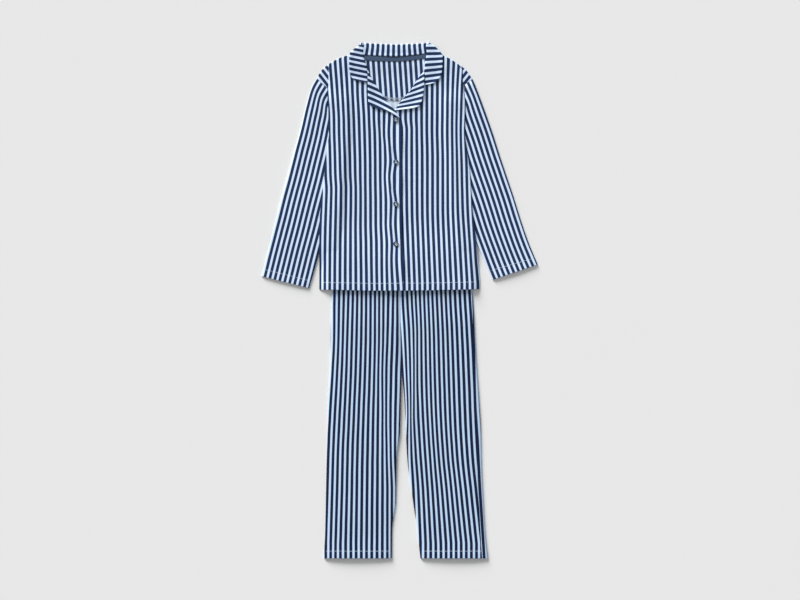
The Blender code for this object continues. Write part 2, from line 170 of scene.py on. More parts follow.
SLEEVE_RIGHT = (
    Ring(-192.5, 516.6, -167.9, 493.3),
    Ring(-203.9, 495.1, -166.6, 456.2),
    Ring(-217.9, 448.5, -145.6, 401.9),
    Ring(-229.5, 401.9, -136.3, 350.7),
    Ring(-244.7, 348.3, -141.0, 306.4),
    Ring(-258.6, 297.1, -151.5, 259.8),
    Ring(-273.8, 243.5, -164.3, 210.9),
    Ring(-288.9, 185.2, -177.1, 157.3),
    Ring(-304.1, 127.0, -191.1, 99.0),
    Ring(-321.5, 57.1, -210.9, 29.1),
)
SLEEVE_LEFT = (
    Ring(170.4, 515.0, 151.2, 501.9),
    Ring(182.9, 483.5, 153.8, 456.2),
    Ring(199.2, 439.2, 134.0, 401.9),
    Ring(215.5, 392.6, 125.8, 350.7),
    Ring(231.8, 341.3, 131.6, 306.4),
    Ring(248.1, 292.4, 142.1, 259.8),
    Ring(264.5, 243.5, 153.8, 210.9),
    Ring(281.9, 187.6, 168.9, 161.9),
    Ring(300.6, 134.0, 188.7, 113.0),
    Ring(321.5, 83.9, 217.2, 48.7),
)

# Lines seen from above, as (x, y). Each runs from the neck outwards and down.
SHOULDER_RIGHT = ((-86.0, 582.8), (-114.2, 572.5), (-138.6, 565.0), (-161.9, 552.2),
                  (-175.9, 541.7), (-185.2, 530.1), (-191.1, 518.4), (-166.6, 495.1))
SHOULDER_LEFT = ((66.5, 583.3), (96.7, 572.5), (117.7, 562.7), (141.0, 547.6),
                 (154.9, 537.1), (164.3, 523.1), (168.9, 516.1), (149.6, 503.3))
BACK_TOP = ((-165.4, 549.8), (-161.9, 552.2), (-138.6, 565.0), (-114.2, 572.5), (-91.0, 580.5),
            (-84.0, 570.5), (-47.8, 567.4), (-10.5, 566.4), (26.8, 567.8), (64.0, 570.5),
            (72.0, 580.5), (96.7, 572.5), (117.7, 562.7), (141.0, 547.6), (148.0, 542.3))
ROLL_RIGHT = ((-85.0, 583.0), (-83.9, 569.7), (-80.4, 555.7), (-75.7, 541.7), (-68.7, 525.4),
              (-57.1, 504.4), (-45.4, 485.8), (-31.5, 467.2), (-19.8, 453.2), (-8.2, 439.2),
              (1.2, 422.9), (5.8, 408.0))
ROLL_LEFT = ((65.5, 583.5), (62.9, 565.0), (59.4, 553.4), (57.1, 534.7), (47.8, 523.1),
             (38.4, 509.1), (26.8, 490.5), (12.8, 474.2), (-1.2, 457.8), (-10.5, 443.9),
             (-19.8, 429.9), (-23.3, 411.2))
PLACKET_RIGHT = ((5.8, 408.0), (5.8, 141.0), (8.6, 117.7), (12.4, 38.4), (13.3, 20.0))
PLACKET_LEFT = ((-23.3, 411.2), (-23.3, 141.0), (-19.8, 106.0), (-16.3, 20.0))
HEM = ((-186.4, 25.6), (-130.0, 24.8), (-60.0, 23.3), (0.0, 23.6), (60.0, 24.0),
       (130.0, 25.5), (187.0, 26.8))

LAPEL_RIGHT_EDGE = ((-74.1, 538.9), (-73.6, 505.6), (-73.4, 485.8), (-72.7, 467.2),
                    (-68.7, 455.5), (-54.8, 448.5), (-36.1, 442.7), (-22.1, 438.0),
                    (-8.2, 428.6), (-1.0, 424.6), (1.2, 421.9))
LAPEL_LEFT_EDGE = ((57.6, 535.2), (57.6, 502.1), (55.9, 485.8), (53.6, 471.8), (50.1, 460.2),
                   (45.4, 453.2), (33.8, 448.5), (12.8, 446.2), (-3.5, 441.5))
LEAF_RIGHT_OUTER = ((-85.0, 600.0), (-99.0, 590.7), (-115.3, 575.5), (-116.5, 565.0),
                    (-117.0, 546.4), (-115.8, 534.7), (-113.0, 523.1), (-106.0, 514.9),
                    (-96.7, 511.4), (-75.0, 507.5))
LEAF_RIGHT_INNER = ((-82.5, 600.0), (-82.2, 590.0), (-83.2, 572.9), (-82.7, 565.0),
                    (-79.9, 555.7), (-74.9, 541.7), (-74.1, 530.0), (-74.1, 507.5))
LEAF_LEFT_OUTER = ((65.2, 600.0), (73.4, 597.6), (94.4, 579.0), (100.2, 569.7),
                   (100.2, 555.7), (99.0, 537.1), (96.7, 525.4), (92.0, 516.1),
                   (80.4, 506.8), (58.6, 502.1))
LEAF_LEFT_INNER = ((62.6, 600.0), (62.3, 590.0), (63.6, 576.4), (62.2, 565.0), (59.4, 553.4),
                   (58.2, 537.1), (57.9, 502.1))
STAND_TOP = ((-87.0, 600.2), (-47.8, 598.1), (-10.5, 596.5), (26.8, 597.6), (67.0, 600.2))
STAND_SEAM = ((-92.0, 572.9), (-47.8, 570.4), (-10.5, 569.0), (26.8, 571.5), (72.0, 576.6))
FALL_EDGE = ((-106.0, 560.4), (-64.1, 556.9), (-10.5, 555.7), (47.8, 556.9), (90.0, 560.4))
FACING_EDGE = ((-89.7, 566.1), (-87.4, 541.7), (-78.1, 513.8), (-61.7, 490.5), (-43.1, 475.3),
               (-24.5, 468.8), (-10.5, 467.2))
FACING_EDGE_LEFT = ((68.7, 566.1), (66.4, 544.1), (57.1, 516.1), (40.8, 492.8), (22.1, 476.5),
                    (5.8, 468.8), (-10.5, 467.2))
TAPE_TOP = ((-88.0, 571.6), (-47.8, 569.0), (-10.5, 567.8), (26.8, 570.4), (68.0, 575.6))
TAPE_BOTTOM = ((-88.0, 560.0), (-47.8, 557.6), (-10.5, 556.6), (26.8, 559.7), (68.0, 564.6))

# Where the navy stripes cross each height. Columns are named by the stripe's count from the
# front edge, or from the outseam on the right leg and the inseam on the left leg.
FrontRight = namedtuple("FrontRight", "y s0 s1 s2 s3 s4 s7 s10 s13 s16")
FRONT_RIGHT_STRIPES = (
    FrontRight(560, 5, -9, -22, -36, -49, -86, -126, -162.5, -198),
    FrontRight(490, 4, -9, -22, -35, -48, -86, -121.5, -157, -192),
    FrontRight(425, 2.6, -12, -23.5, -35.7, -48, -82.5, -118.5, -152.5, -187.5),
    FrontRight(390, 3, -12.5, -24.8, -36.4, -46, -81.5, -117.5, -152, -186.5),
    FrontRight(358, 3, -12.4, -23.1, -33.6, -45.1, -80.6, -116.5, -151, -185),
    FrontRight(325, 2.6, -8.6, -20.9, -32.7, -44.9, -79.8, -115.5, -150, -184),
    FrontRight(288, 3, -12.4, -23.9, -34.1, -44.5, -79.7, -114.5, -149, -183),
    FrontRight(260, 3, -12.3, -22.1, -32.8, -44.2, -79.5, -113, -147.5, -181),
    FrontRight(227, 2.8, -8.2, -19.2, -31.6, -43.6, -79.2, -113.2, -148, -182),
    FrontRight(180, 3.5, -9.6, -20.9, -31.8, -43.4, -79.2, -113.8, -149, -184),
    FrontRight(130, 5, -6.6, -17.5, -29.3, -41.5, -78, -114, -150, -185),
    FrontRight(97, 6, -7, -18.6, -29.7, -41.3, -77.6, -114, -150.5, -185),
    FrontRight(31, 10.5, -2.8, -16, -28.6, -40.4, -76.3, -114, -151, -185),
)
FrontLeft = namedtuple("FrontLeft", "y s1 s4 s8 s10 s12 s14")
FRONT_LEFT_STRIPES = (
    FrontLeft(560, 16, 52, 101, 127, 150, 174),
    FrontLeft(490, 15, 51.7, 100.5, 124, 145, 167),
    FrontLeft(425, 14.2, 51.5, 100, 122.8, 143, 165),
    FrontLeft(397, 16.8, 51.7, 99.7, 122.6, 142.4, 163),
    FrontLeft(327, 16.3, 52.9, 100.9, 123.5, 144.2, 167),
    FrontLeft(222, 17, 53, 101, 124.2, 146.8, 170),
    FrontLeft(118, 20.3, 56.2, 104.4, 128.6, 153.3, 176),
    FrontLeft(38, 23.3, 59.2, 107.9, 132.6, 157.7, 182.4),
)
LegRight = namedtuple("LegRight", "y s0 s3 s6 s9 s11 s12 s13 s14")
LEG_RIGHT_STRIPES = (
    LegRight(60, -151, -118.5, -88, -57, -37.5, -25.5, -13.5, -4.5),
    LegRight(10, -151.5, -119, -88, -57, -37.5, -26, -14.5, -5),
    LegRight(-80, -152, -121.5, -89, -57, -38, -28, -16.5, -5),
    LegRight(-171, -156, -124, -91.5, -58.5, -40, -31, -19.5, -7.5),
    LegRight(-262, -161.5, -128, -95, -61, -39, -31.5, -21, -9.5),
    LegRight(-353, -165.5, -132, -98, -62.5, -39.5, -30, -20.5, -10.5),
    LegRight(-444, -168, -134, -99.5, -63.5, -39.5, -28, -18, -7),
    LegRight(-565, -171.5, -137.5, -101, -64.5, -40, -28, -18.5, -7),
)
LegLeft = namedtuple("LegLeft", "y s0 s2 s3 s5 s7 s11 s15")
LEG_LEFT_STRIPES = (
    LegLeft(60, 6.5, 27, 36, 56, 75, 116, 161),
    LegLeft(10, 7.5, 28.5, 37.5, 57.5, 76.5, 118, 163.5),
    LegLeft(-80, 12.5, 33, 41, 60.5, 80, 122.5, 169),
    LegLeft(-171, 16.5, 34, 41, 62, 82, 125.5, 173.5),
    LegLeft(-262, 19.5, 33, 43.5, 65, 85, 128.5, 177),
    LegLeft(-353, 18, 37.5, 48.5, 70.5, 90.5, 133.5, 181.5),
    LegLeft(-444, 21.5, 44, 55, 77, 99, 143, 190),
    LegLeft(-565, 25, 49, 61, 84.5, 108.5, 155.5, 203),
)
# First navy stripe in from the outer fold, at both ends of a sleeve, and the stripes' repeat
SleeveStripes = namedtuple("SleeveStripes", "at_cuff at_shoulder repeat")
SLEEVE_RIGHT_STRIPES = SleeveStripes(8.4, 3.6, 11.85)
SLEEVE_LEFT_STRIPES = SleeveStripes(11.2, 13.0, 11.75)
# The left leg's outseam, which lies a little in from the outer fold
OUTSEAM = ((171.0, 57.0), (171.3, -69.0), (172.9, -115.0), (174.8, -232.0), (179.6, -325.0),
           (183.0, -418.0), (187.6, -511.0), (192.6, -600.0))

# Soft drag folds at the front edge: each runs from one point to another, with its depth and
# half width, and the half width of its steeper side. A negative depth is a trough.
Fold = namedtuple("Fold", "x0 y0 x1 y1 depth width steep", defaults=(0.0,))
FRONT_RIGHT_FOLDS = (
    Fold(-56, 444, -5, 316, 1.7, 7.0, 1.5),
    Fold(-32, 306, -5, 214, 1.3, 6.0, 1.5),
    Fold(-26, 196, -7, 122, 0.9, 6.0, 1.6),
    Fold(-2, 318, -14, 262, 0.5, 3.0),
    Fold(-2, 221, -13, 170, 0.45, 3.0),
    Fold(-60, 300, -52, 170, -0.25, 16.0),
    Fold(-110, 340, -96, 120, 0.3, 22.0),
    Fold(-146, 210, -138, 60, -0.3, 18.0),
    Fold(-95, 470, -120, 420, 0.3, 14.0),
)
FRONT_LEFT_FOLDS = (
    Fold(14, 404, 24, 330, 0.45, 6.0),
    Fold(12, 281, 60, 283, 0.35, 3.0),
    Fold(52, 250, 74, 120, -0.3, 18.0),
    Fold(118, 330, 100, 180, 0.3, 20.0),
    Fold(146, 190, 152, 60, -0.3, 14.0),
    Fold(96, 470, 122, 410, 0.3, 14.0),
)
LEG_RIGHT_FOLDS = (
    Fold(-38, -60, -33, -440, 0.9, 6.5),
    Fold(-112, 10, -118, -180, 0.4, 9.0),
    Fold(-80, -30, -84, -240, -0.35, 14.0),
    Fold(-128, -260, -134, -480, 0.35, 18.0),
    Fold(-72, -400, -60, -560, 0.3, 16.0),
    Fold(-20, -330, -36, -380, -0.4, 8.0),
)
LEG_LEFT_FOLDS = (
    Fold(33, -60, 37, -320, 0.9, 6.0),
    Fold(78, 10, 84, -170, 0.4, 10.0),
    Fold(128, -20, 132, -230, -0.35, 16.0),
    Fold(150, -300, 166, -500, 0.35, 18.0),
    Fold(86, -360, 102, -540, -0.3, 16.0),
    Fold(30, -330, 52, -400, 0.35, 9.0),
)
SLEEVE_RIGHT_FOLDS = (
    Fold(-190, 470, -214, 380, 0.6, 8.0),
    Fold(-176, 400, -226, 330, -0.45, 7.0),
    Fold(-212, 300, -196, 240, 0.4, 9.0),
    Fold(-262, 200, -240, 110, -0.35, 10.0),
)
SLEEVE_LEFT_FOLDS = (
    Fold(172, 470, 196, 380, 0.6, 8.0),
    Fold(160, 400, 210, 330, -0.45, 7.0),
    Fold(200, 300, 184, 240, 0.4, 9.0),
    Fold(250, 200, 226, 120, -0.35, 10.0),
)

LegParts = namedtuple("LegParts", "side edges stripes folds stitched_to")
LEGS = {
    "right": LegParts(-1, LEG_RIGHT, LEG_RIGHT_STRIPES, LEG_RIGHT_FOLDS, -175.0),
    "left": LegParts(1, LEG_LEFT, LEG_LEFT_STRIPES, LEG_LEFT_FOLDS, 195.0),
}

# Cut of what shows of each sheet: width and length in metres, and area in square metres
# where it isn't a rectangle
Cut = namedtuple("Cut", "width length area")
CUTS = {
    "back": Cut(0.374, 0.560, 0.188),
    "front_right": Cut(0.215, 0.560, 0.093),
    "front_left": Cut(0.212, 0.560, 0.096),
    "back_neck_facing": Cut(0.158, 0.104, 0.0133),
    "neck_tape": Cut(0.152, 0.0115, None),
    "lapel_right": Cut(0.078, 0.117, 0.0028),
    "lapel_left": Cut(0.067, 0.093, 0.0028),
    "collar": Cut(0.220, 0.100, 0.0182),
    "sleeve_right": Cut(0.220, 0.500, 0.0948),
    "sleeve_left": Cut(0.220, 0.480, 0.0870),
    "leg_front_right": Cut(0.166, 0.658, 0.105),
    "leg_front_left": Cut(0.178, 0.658, 0.109),
    "leg_back_right": Cut(0.166, 0.658, 0.105),
    "leg_back_left": Cut(0.190, 0.658, 0.116),
    "waistband": Cut(0.650, 0.032, None),
}


def smooth(value):
    """Ease from 0 to 1."""
    value = np.clip(value, 0.0, 1.0)
    return value * value * (3.0 - 2.0 * value)


def mix(low, high, amount):
    """The value that lies this share of the way from low to high."""
    return low + (high - low) * amount


def eased(places, values, at):
    """Read values at the places given, on a smooth line that never overshoots."""
    order = np.argsort(places)
    places = np.asarray(places, float)[order]
    values = np.asarray(values, float)[order]
    steps = np.diff(places)
    slopes = np.diff(values) / steps
    tangents = np.zeros(len(values))
    tangents[0], tangents[-1] = slopes[0], slopes[-1]
    same = slopes[:-1] * slopes[1:] > 0
    safe = np.where(same, slopes[:-1] + slopes[1:], 1.0)
    tangents[1:-1] = np.where(same, 2.0 * slopes[:-1] * slopes[1:] / safe, 0.0)
    at = np.clip(at, places[0], places[-1])
    index = np.clip(np.searchsorted(places, at, side="right") - 1, 0, len(steps) - 1)
    step = steps[index]
    t = (at - places[index]) / step
    t2, t3 = t * t, t * t * t
    return (values[index] * (2 * t3 - 3 * t2 + 1) + values[index + 1] * (3 * t2 - 2 * t3)
            + tangents[index] * step * (t3 - 2 * t2 + t)
            + tangents[index + 1] * step * (t3 - t2))


def column(table, name, y):
    """One column of a table, read at the heights given."""
    return eased([row.y for row in table], [getattr(row, name) for row in table], y)


def line_x(line, y):
    """Where a line that runs down the set crosses height y."""
    return eased([point[1] for point in line], [point[0] for point in line], y)


def line_y(line, x):
    """Height of a line that runs across the set, at x."""
    return eased([point[0] for point in line], [point[1] for point in line], x)


def rolled(distance, radius):
    """1 at a rolled edge and 0 from the radius inwards, on a quarter circle."""
    inward = 1.0 - np.clip(distance / radius, 0.0, 1.0)
    return 1.0 - np.sqrt(np.maximum(1.0 - inward * inward, 0.0))


def folds_at(folds, x, y):
    """Height that a table's soft folds add."""
    height = np.zeros_like(x)
    for fold in folds:
        along_x, along_y = fold.x1 - fold.x0, fold.y1 - fold.y0
        length = math.hypot(along_x, along_y)
        along = ((x - fold.x0) * along_x + (y - fold.y0) * along_y) / length
        across = ((x - fold.x0) * along_y - (y - fold.y0) * along_x) / length
        ends = smooth(along / (0.35 * length)) * smooth((length - along) / (0.35 * length))
        width = np.where(across < 0, fold.steep or fold.width, fold.width)
        height = height + fold.depth * np.exp(-(across / width) ** 2) * ends
    return height


def ripple(x, y, size=1.0):
    """Slow unevenness of cloth that has been smoothed out by hand."""
    return size * (0.16 * np.sin(x / 31 + 0.6 * np.sin(y / 83) + 0.4)
                   + 0.12 * np.sin(y / 47 + 1.1 * np.sin(x / 59) + 2.0)
                   + 0.07 * np.sin(x / 13.7 + y / 71 + 1.3))


def body_edges(y):
    """The body's side edges, read along the same straight lines as the solids."""
    ys = [edge.y for edge in BODY_EDGES][::-1]
    right = np.interp(y, ys, [edge.right for edge in BODY_EDGES][::-1])
    left = np.interp(y, ys, [edge.left for edge in BODY_EDGES][::-1])
    return right, left


def inside_edges(x, y):
    """Distance in from the nearer side edge of the body."""
    right, left = body_edges(y)
    return np.minimum(x - right, left - x)


def base(x, y):
    """Underside of the back: on the surface, or carried by trousers, sleeves or collar."""
    right, left = body_edges(y)
    inside = inside_edges(x, y)
    past_edges = np.minimum(smooth((x - right - 1) / 18), smooth((left - x - 1) / 9))
    waist = OVER_TROUSERS * smooth((190 - y) / 100) * past_edges
    along_sleeve = smooth((501 - y) / 44) * smooth((y - 60) / 70)
    sleeve = OVER_SLEEVE * along_sleeve * smooth((60 - inside) / 22)
    collar = OVER_COLLAR_FALL * smooth((y - 520) / 32) * smooth((inside - 19) / 17)
    return np.maximum(np.maximum(waist, sleeve), collar)


def rise(x, y):
    """How far the fronts stand off the back."""
    inside = inside_edges(x, y)
    hem = HEM_RISE * smooth(inside / 25)
    chest = FRONT_RISE * smooth(inside / 60)
    shoulder = NECK_RISE * smooth((inside - 0.5) / (FOLD_WIDTH - 1))
    return mix(hem, mix(chest, shoulder, smooth((y - 430) / 60)), smooth((y - 14) / 100))


def front_calm(x, y):
    """Ripples fade where the fronts meet the sides, the hem and the collar."""
    return smooth(inside_edges(x, y) / 40) * smooth((y - 30) / 50)


def front_mid(x, y):
    """Middle of the front's cloth, before it laps over the other front."""
    return base(x, y) + ON_BACK + rise(x, y) + ripple(x, y) * front_calm(x, y)


def lap(x):
    """How much higher the overlapping front lies where the other is under it."""
    return LAYER * smooth((x - LAP_START) / (LAP_FULL - LAP_START))


def lapped_mid(x, y):
    """Middle of the overlapping front, standing off a little between the buttons."""
    folds = folds_at(FRONT_RIGHT_FOLDS, x, y) * front_calm(x, y)
    gape = 1.0 + 0.55 * np.cos((y - BUTTON_YS[1]) / (BUTTON_YS[1] - BUTTON_YS[2]) * 2 * math.pi)
    edge = 1.5 * (1.55 - gape) * smooth((x + 8) / 12) * smooth((430 - y) / 30)
    return front_mid(x, y) + lap(x) + folds + edge


def collar_mid(x, y):
    """Over the fronts at the leaves, and lower behind the neck, where there is no front."""
    behind_neck = smooth((y - 566) / 12) * smooth((x + 86) / 10) * smooth((70 - x) / 8)
    return front_mid(x, y) + ON_FRONT - LAYER * behind_neck


def stripe_count(table, x, y):
    """Which stripe is at (x, y), as a number that is whole in the middle of a navy stripe."""
    names = table[0]._fields[1:]
    counts = [float(name[1:]) for name in names]
    places = np.array([column(table, name, y[:, 0]) for name in names])
    if places[0, 0] > places[-1, 0]:
        names, counts, places = names[::-1], counts[::-1], places[::-1]
    counts = np.array(counts)
    result = np.empty_like(x)
    for row in range(x.shape[0]):
        crossings = places[:, row]
        start = (counts[1] - counts[0]) / (crossings[1] - crossings[0])
        end = (counts[-1] - counts[-2]) / (crossings[-1] - crossings[-2])
        result[row] = np.interp(x[row], crossings, counts)
        before = x[row] < crossings[0]
        after = x[row] > crossings[-1]
        result[row][before] = counts[0] + (x[row][before] - crossings[0]) * start
        result[row][after] = counts[-1] + (x[row][after] - crossings[-1]) * end
    return result


def stations(low, high, step):
    """Heights from low to high, closer at both ends."""
    count = max(int(round((high - low - 2 * INSETS[-1]) / step)), 2)
    middle = np.linspace(low + INSETS[-1], high - INSETS[-1], count)
    return np.concatenate((low + INSETS[:-1], middle, high - INSETS[:-1][::-1]))


def spread(ys, x):
    """Each row's height, for every point across it."""
    return np.repeat(ys[:, None], x.shape[1], axis=1)


def way_along(steps, axis=0):
    """Distance gone at each point, from the steps between points."""
    start = np.zeros_like(np.take(steps, [0], axis=axis))
    return np.concatenate((start, np.cumsum(steps, axis=axis)), axis=axis)


def across(left, right, step):
    """Points across each row between its two edges, closer at the edges."""
    width = right - left
    close = np.minimum(1.0, width / (4.0 * INSETS[-1]))[:, None]
    count = max(int(round((width.max() - 2 * INSETS[-1]) / step)), 2)
    near = INSETS[None, :-1] * close
    inner = INSETS[-1] * close
    middle = inner + (width[:, None] - 2 * inner) * np.linspace(0.0, 1.0, count)[None, :]
    offsets = np.concatenate((near, middle, width[:, None] - near[:, ::-1]), axis=1)
    return left[:, None] + offsets


def unit(vectors):
    """The same directions, each of length 1."""
    return vectors / np.maximum(np.linalg.norm(vectors, axis=-1, keepdims=True), TINY)


def strip(first, second):
    """Quads between two lines of points."""
    return np.stack((first[:-1], first[1:], second[1:], second[:-1]), axis=-1)


def grid_quads(index):
    """Quads between all neighbouring points of a grid."""
    corners = (index[:-1, :-1], index[:-1, 1:], index[1:, 1:], index[1:, :-1])
    return np.stack([corner.ravel() for corner in corners], axis=-1)


class Cloth:
    """Gathers one piece's sheets of cloth and makes them one mesh."""

    def __init__(self, name):
        self.name = name
        self.points, self.faces, self.marks, self.sides = [], [], [], []
        self.total = 0

    def add_points(self, points, marks):
        """Add points with their cloth marks, and return the first one's number."""
        start = self.total
        self.points.append(points)
        self.marks.append(marks)
        self.total += len(points)
        return start

    def add_faces(self, quads, start, side):
        """Add quads between points numbered from start, on one side of the cloth."""
        self.faces.append(quads + start)
        self.sides.append(np.full(len(quads), side))

    def sheet(self, x, y, z, u, v, wall=CLOTH, outside=0, inside=1):
        """A closed wall of cloth around a grid of points, with rounded edges.

        u counts stripes and v is the way along them. outside and inside are the finishes of
        the upper and the under face.
        """
        middle = np.stack((x, y, z), axis=-1)
        rows, columns = x.shape
        normal = np.cross(np.gradient(middle, axis=1), np.gradient(middle, axis=0))
        length = np.linalg.norm(normal, axis=-1, keepdims=True)
        normal = np.where(length > TINY, unit(normal), (0.0, 0.0, 1.0))
        upper = (middle + normal * wall / 2).reshape(-1, 3)
        lower = (middle - normal * wall / 2).reshape(-1, 3)
        marks = np.stack((u, v), axis=-1).reshape(-1, 2)
        index = np.arange(rows * columns).reshape(rows, columns)
        loop = np.concatenate((index[0, :-1], index[:-1, -1], index[-1, :0:-1], index[:0:-1, 0]))
        row_in = np.clip(loop // columns, 1, rows - 2)
        column_in = np.clip(loop % columns, 1, columns - 2)
        flat = middle.reshape(-1, 3)
        rim = flat[loop] + unit(flat[loop] - flat[row_in * columns + column_in]) * wall * RIM
        count = rows * columns
        start = self.add_points(np.concatenate((upper, lower, rim)),
                                np.concatenate((marks, marks, marks[loop])))
        self.add_faces(grid_quads(index), start, outside)
        self.add_faces(grid_quads(index)[:, ::-1] + count, start, inside)
        around = np.append(loop, loop[0])
        edge = np.append(np.arange(len(loop)), 0) + 2 * count
        self.add_faces(np.stack((around[:-1], edge[:-1], edge[1:], around[1:]), axis=-1), start,
                       outside)
        self.add_faces(np.stack((edge[:-1], around[:-1] + count, around[1:] + count, edge[1:]),
                                axis=-1), start, outside)

    def tube(self, x, y, z, u, v, wall=CLOTH):
        """A closed wall round an open-ended tube. Columns of the grid go round it."""
        middle = np.stack((x, y, z), axis=-1)
        rows, columns = x.shape
        wrapped = np.concatenate((middle[:, -2:-1], middle, middle[:, 1:2]), axis=1)
        normal = unit(np.cross(wrapped[:, 2:] - wrapped[:, :-2], np.gradient(middle, axis=0)))
        outer = (middle + normal * wall / 2).reshape(-1, 3)
        inner = (middle - normal * wall / 2).reshape(-1, 3)
        marks = np.stack((u, v), axis=-1).reshape(-1, 2)
        index = np.arange(rows * columns).reshape(rows, columns)
        count = rows * columns
        rims = [ends + unit(outward) * wall * RIM for ends, outward in (
            (middle[0], middle[0] - middle[1]), (middle[-1], middle[-1] - middle[-2]))]
        start = self.add_points(np.concatenate((outer, inner, *rims)),
                                np.concatenate((marks, marks, marks[index[0]], marks[index[-1]])))
        self.add_faces(grid_quads(index), start, 0)
        self.add_faces(grid_quads(index)[:, ::-1] + count, start, 1)
        low, high = index[0], index[-1]
        low_rim = np.arange(columns) + 2 * count
        high_rim = low_rim + columns
        for first, second in ((low_rim, low), (low + count, low_rim),
                              (high, high_rim), (high_rim, high + count)):
            self.add_faces(strip(first, second), start, 0)

    def make(self, face, back="wrong side"):
        """The piece as an object, in metres, with its cloth marks as a UV map."""
        points = np.concatenate(self.points) * MM
        faces = np.concatenate(self.faces)
        marks = np.concatenate(self.marks)
        mesh = bpy.data.meshes.new(self.name)
        mesh.from_pydata(points.tolist(), [], faces.tolist())
        layer = mesh.uv_layers.new(name="Cloth")
        layer.data.foreach_set("uv", marks[faces.ravel()].ravel())
        mesh.polygons.foreach_set("material_index", np.concatenate(self.sides).astype(np.int32))
        for kind in (face, back):
            mesh.materials.append(finish_for(kind))
        shape = bmesh.new()
        shape.from_mesh(mesh)
        bmesh.ops.remove_doubles(shape, verts=shape.verts, dist=SAME_PLACE)
        bmesh.ops.dissolve_degenerate(shape, edges=shape.edges, dist=SAME_PLACE)
        shape.to_mesh(mesh)
        shape.free()
        mesh.shade_smooth()
        piece = bpy.data.objects.new(self.name, mesh)
        bpy.context.scene.collection.objects.link(piece)
        return piece


class Number:
    """A shader value that Python's own arithmetic can work on."""

    def __init__(self, finish, socket):
        self.finish, self.socket = finish, socket

    def work(self, operation, *others):
        """The result of a Math node on the values given."""
        values = [other.socket if isinstance(other, Number) else other for other in others]
        sockets = dict(enumerate(values))
        return self.finish.node("ShaderNodeMath", {"operation": operation}, sockets)["Value"]

    def __add__(self, other):
        return self.work('ADD', self, other)

    def __radd__(self, other):
        return self.work('ADD', other, self)

    def __sub__(self, other):
        return self.work('SUBTRACT', self, other)

    def __rsub__(self, other):
        return self.work('SUBTRACT', other, self)

    def __mul__(self, other):
        return self.work('MULTIPLY', self, other)

    def __rmul__(self, other):
        return self.work('MULTIPLY', other, self)

    def __truediv__(self, other):
        return self.work('DIVIDE', self, other)

    def __abs__(self):
        return self.work('ABSOLUTE', self)

    def fraction(self):
        """What is left after the whole number."""
        return self.work('FRACT', self)

    def sine(self):
        """The sine of an angle in radians."""
        return self.work('SINE', self)


class Node:
    """A node whose outputs are read by name."""

    def __init__(self, finish, node):
        self.finish, self.node = finish, node

    def __getitem__(self, name):
        return Number(self.finish, self.node.outputs[name])


class Finish:
    """One material, made node by node."""

    def __init__(self, name):
        self.material = bpy.data.materials.new(name)
        self.material.use_nodes = True
        self.tree = self.material.node_tree
        self.shader = self.tree.nodes["Principled BSDF"]

    def set(self, node, sockets):
        """Give a node's sockets values or links."""
        for key, value in sockets.items():
            socket = node.inputs[key]
            if isinstance(value, (Number, bpy.types.NodeSocket)):
                source = value.socket if isinstance(value, Number) else value
                self.tree.links.new(source, socket)
            else:
                socket.default_value = value

    def node(self, kind, settings=None, sockets=None):
        """A node of one kind, with its settings made before its sockets are given."""
        made = self.tree.nodes.new(kind)
        for key, value in (settings or {}).items():
            setattr(made, key, value)
        self.set(made, sockets or {})
        return Node(self, made)

    def mixed(self, factor, first, second, blend='MIX'):
        """A colour mixed from two others."""
        node = self.node("ShaderNodeMix", {"data_type": 'RGBA', "blend_type": blend})
        inputs = node.node.inputs
        for socket, value in ((inputs[0], factor), (inputs[6], first), (inputs[7], second)):
            if isinstance(value, Number):
                self.tree.links.new(value.socket, socket)
            else:
                socket.default_value = value
        return Number(self, node.node.outputs[2])

    def noise(self, vector, scale, detail=2.0):
        """Soft noise from 0 to 1."""
        return self.node("ShaderNodeTexNoise", {}, {"Vector": vector, "Scale": scale,
                                                    "Detail": detail})["Fac"]

    def eased_range(self, value, start, end):
        """0 at start and 1 at end, eased."""
        return self.node("ShaderNodeMapRange", {"interpolation_type": 'SMOOTHSTEP'},
                         {"Value": value, "From Min": start, "From Max": end})["Result"]

    def bumped(self, height, strength, distance, under=None):
        """A normal raised by a height, over another normal if one is given."""
        sockets = {"Height": height, "Strength": strength, "Distance": distance}
        if under is not None:
            sockets["Normal"] = under
        return self.node("ShaderNodeBump", {}, sockets)["Normal"]


def colour(values, shade=1.0):
    """A setting's colour as a shader takes it, made darker or lighter by its shade."""
    return [min(part * shade, 1.0) for part in values[:3]] + [1.0]


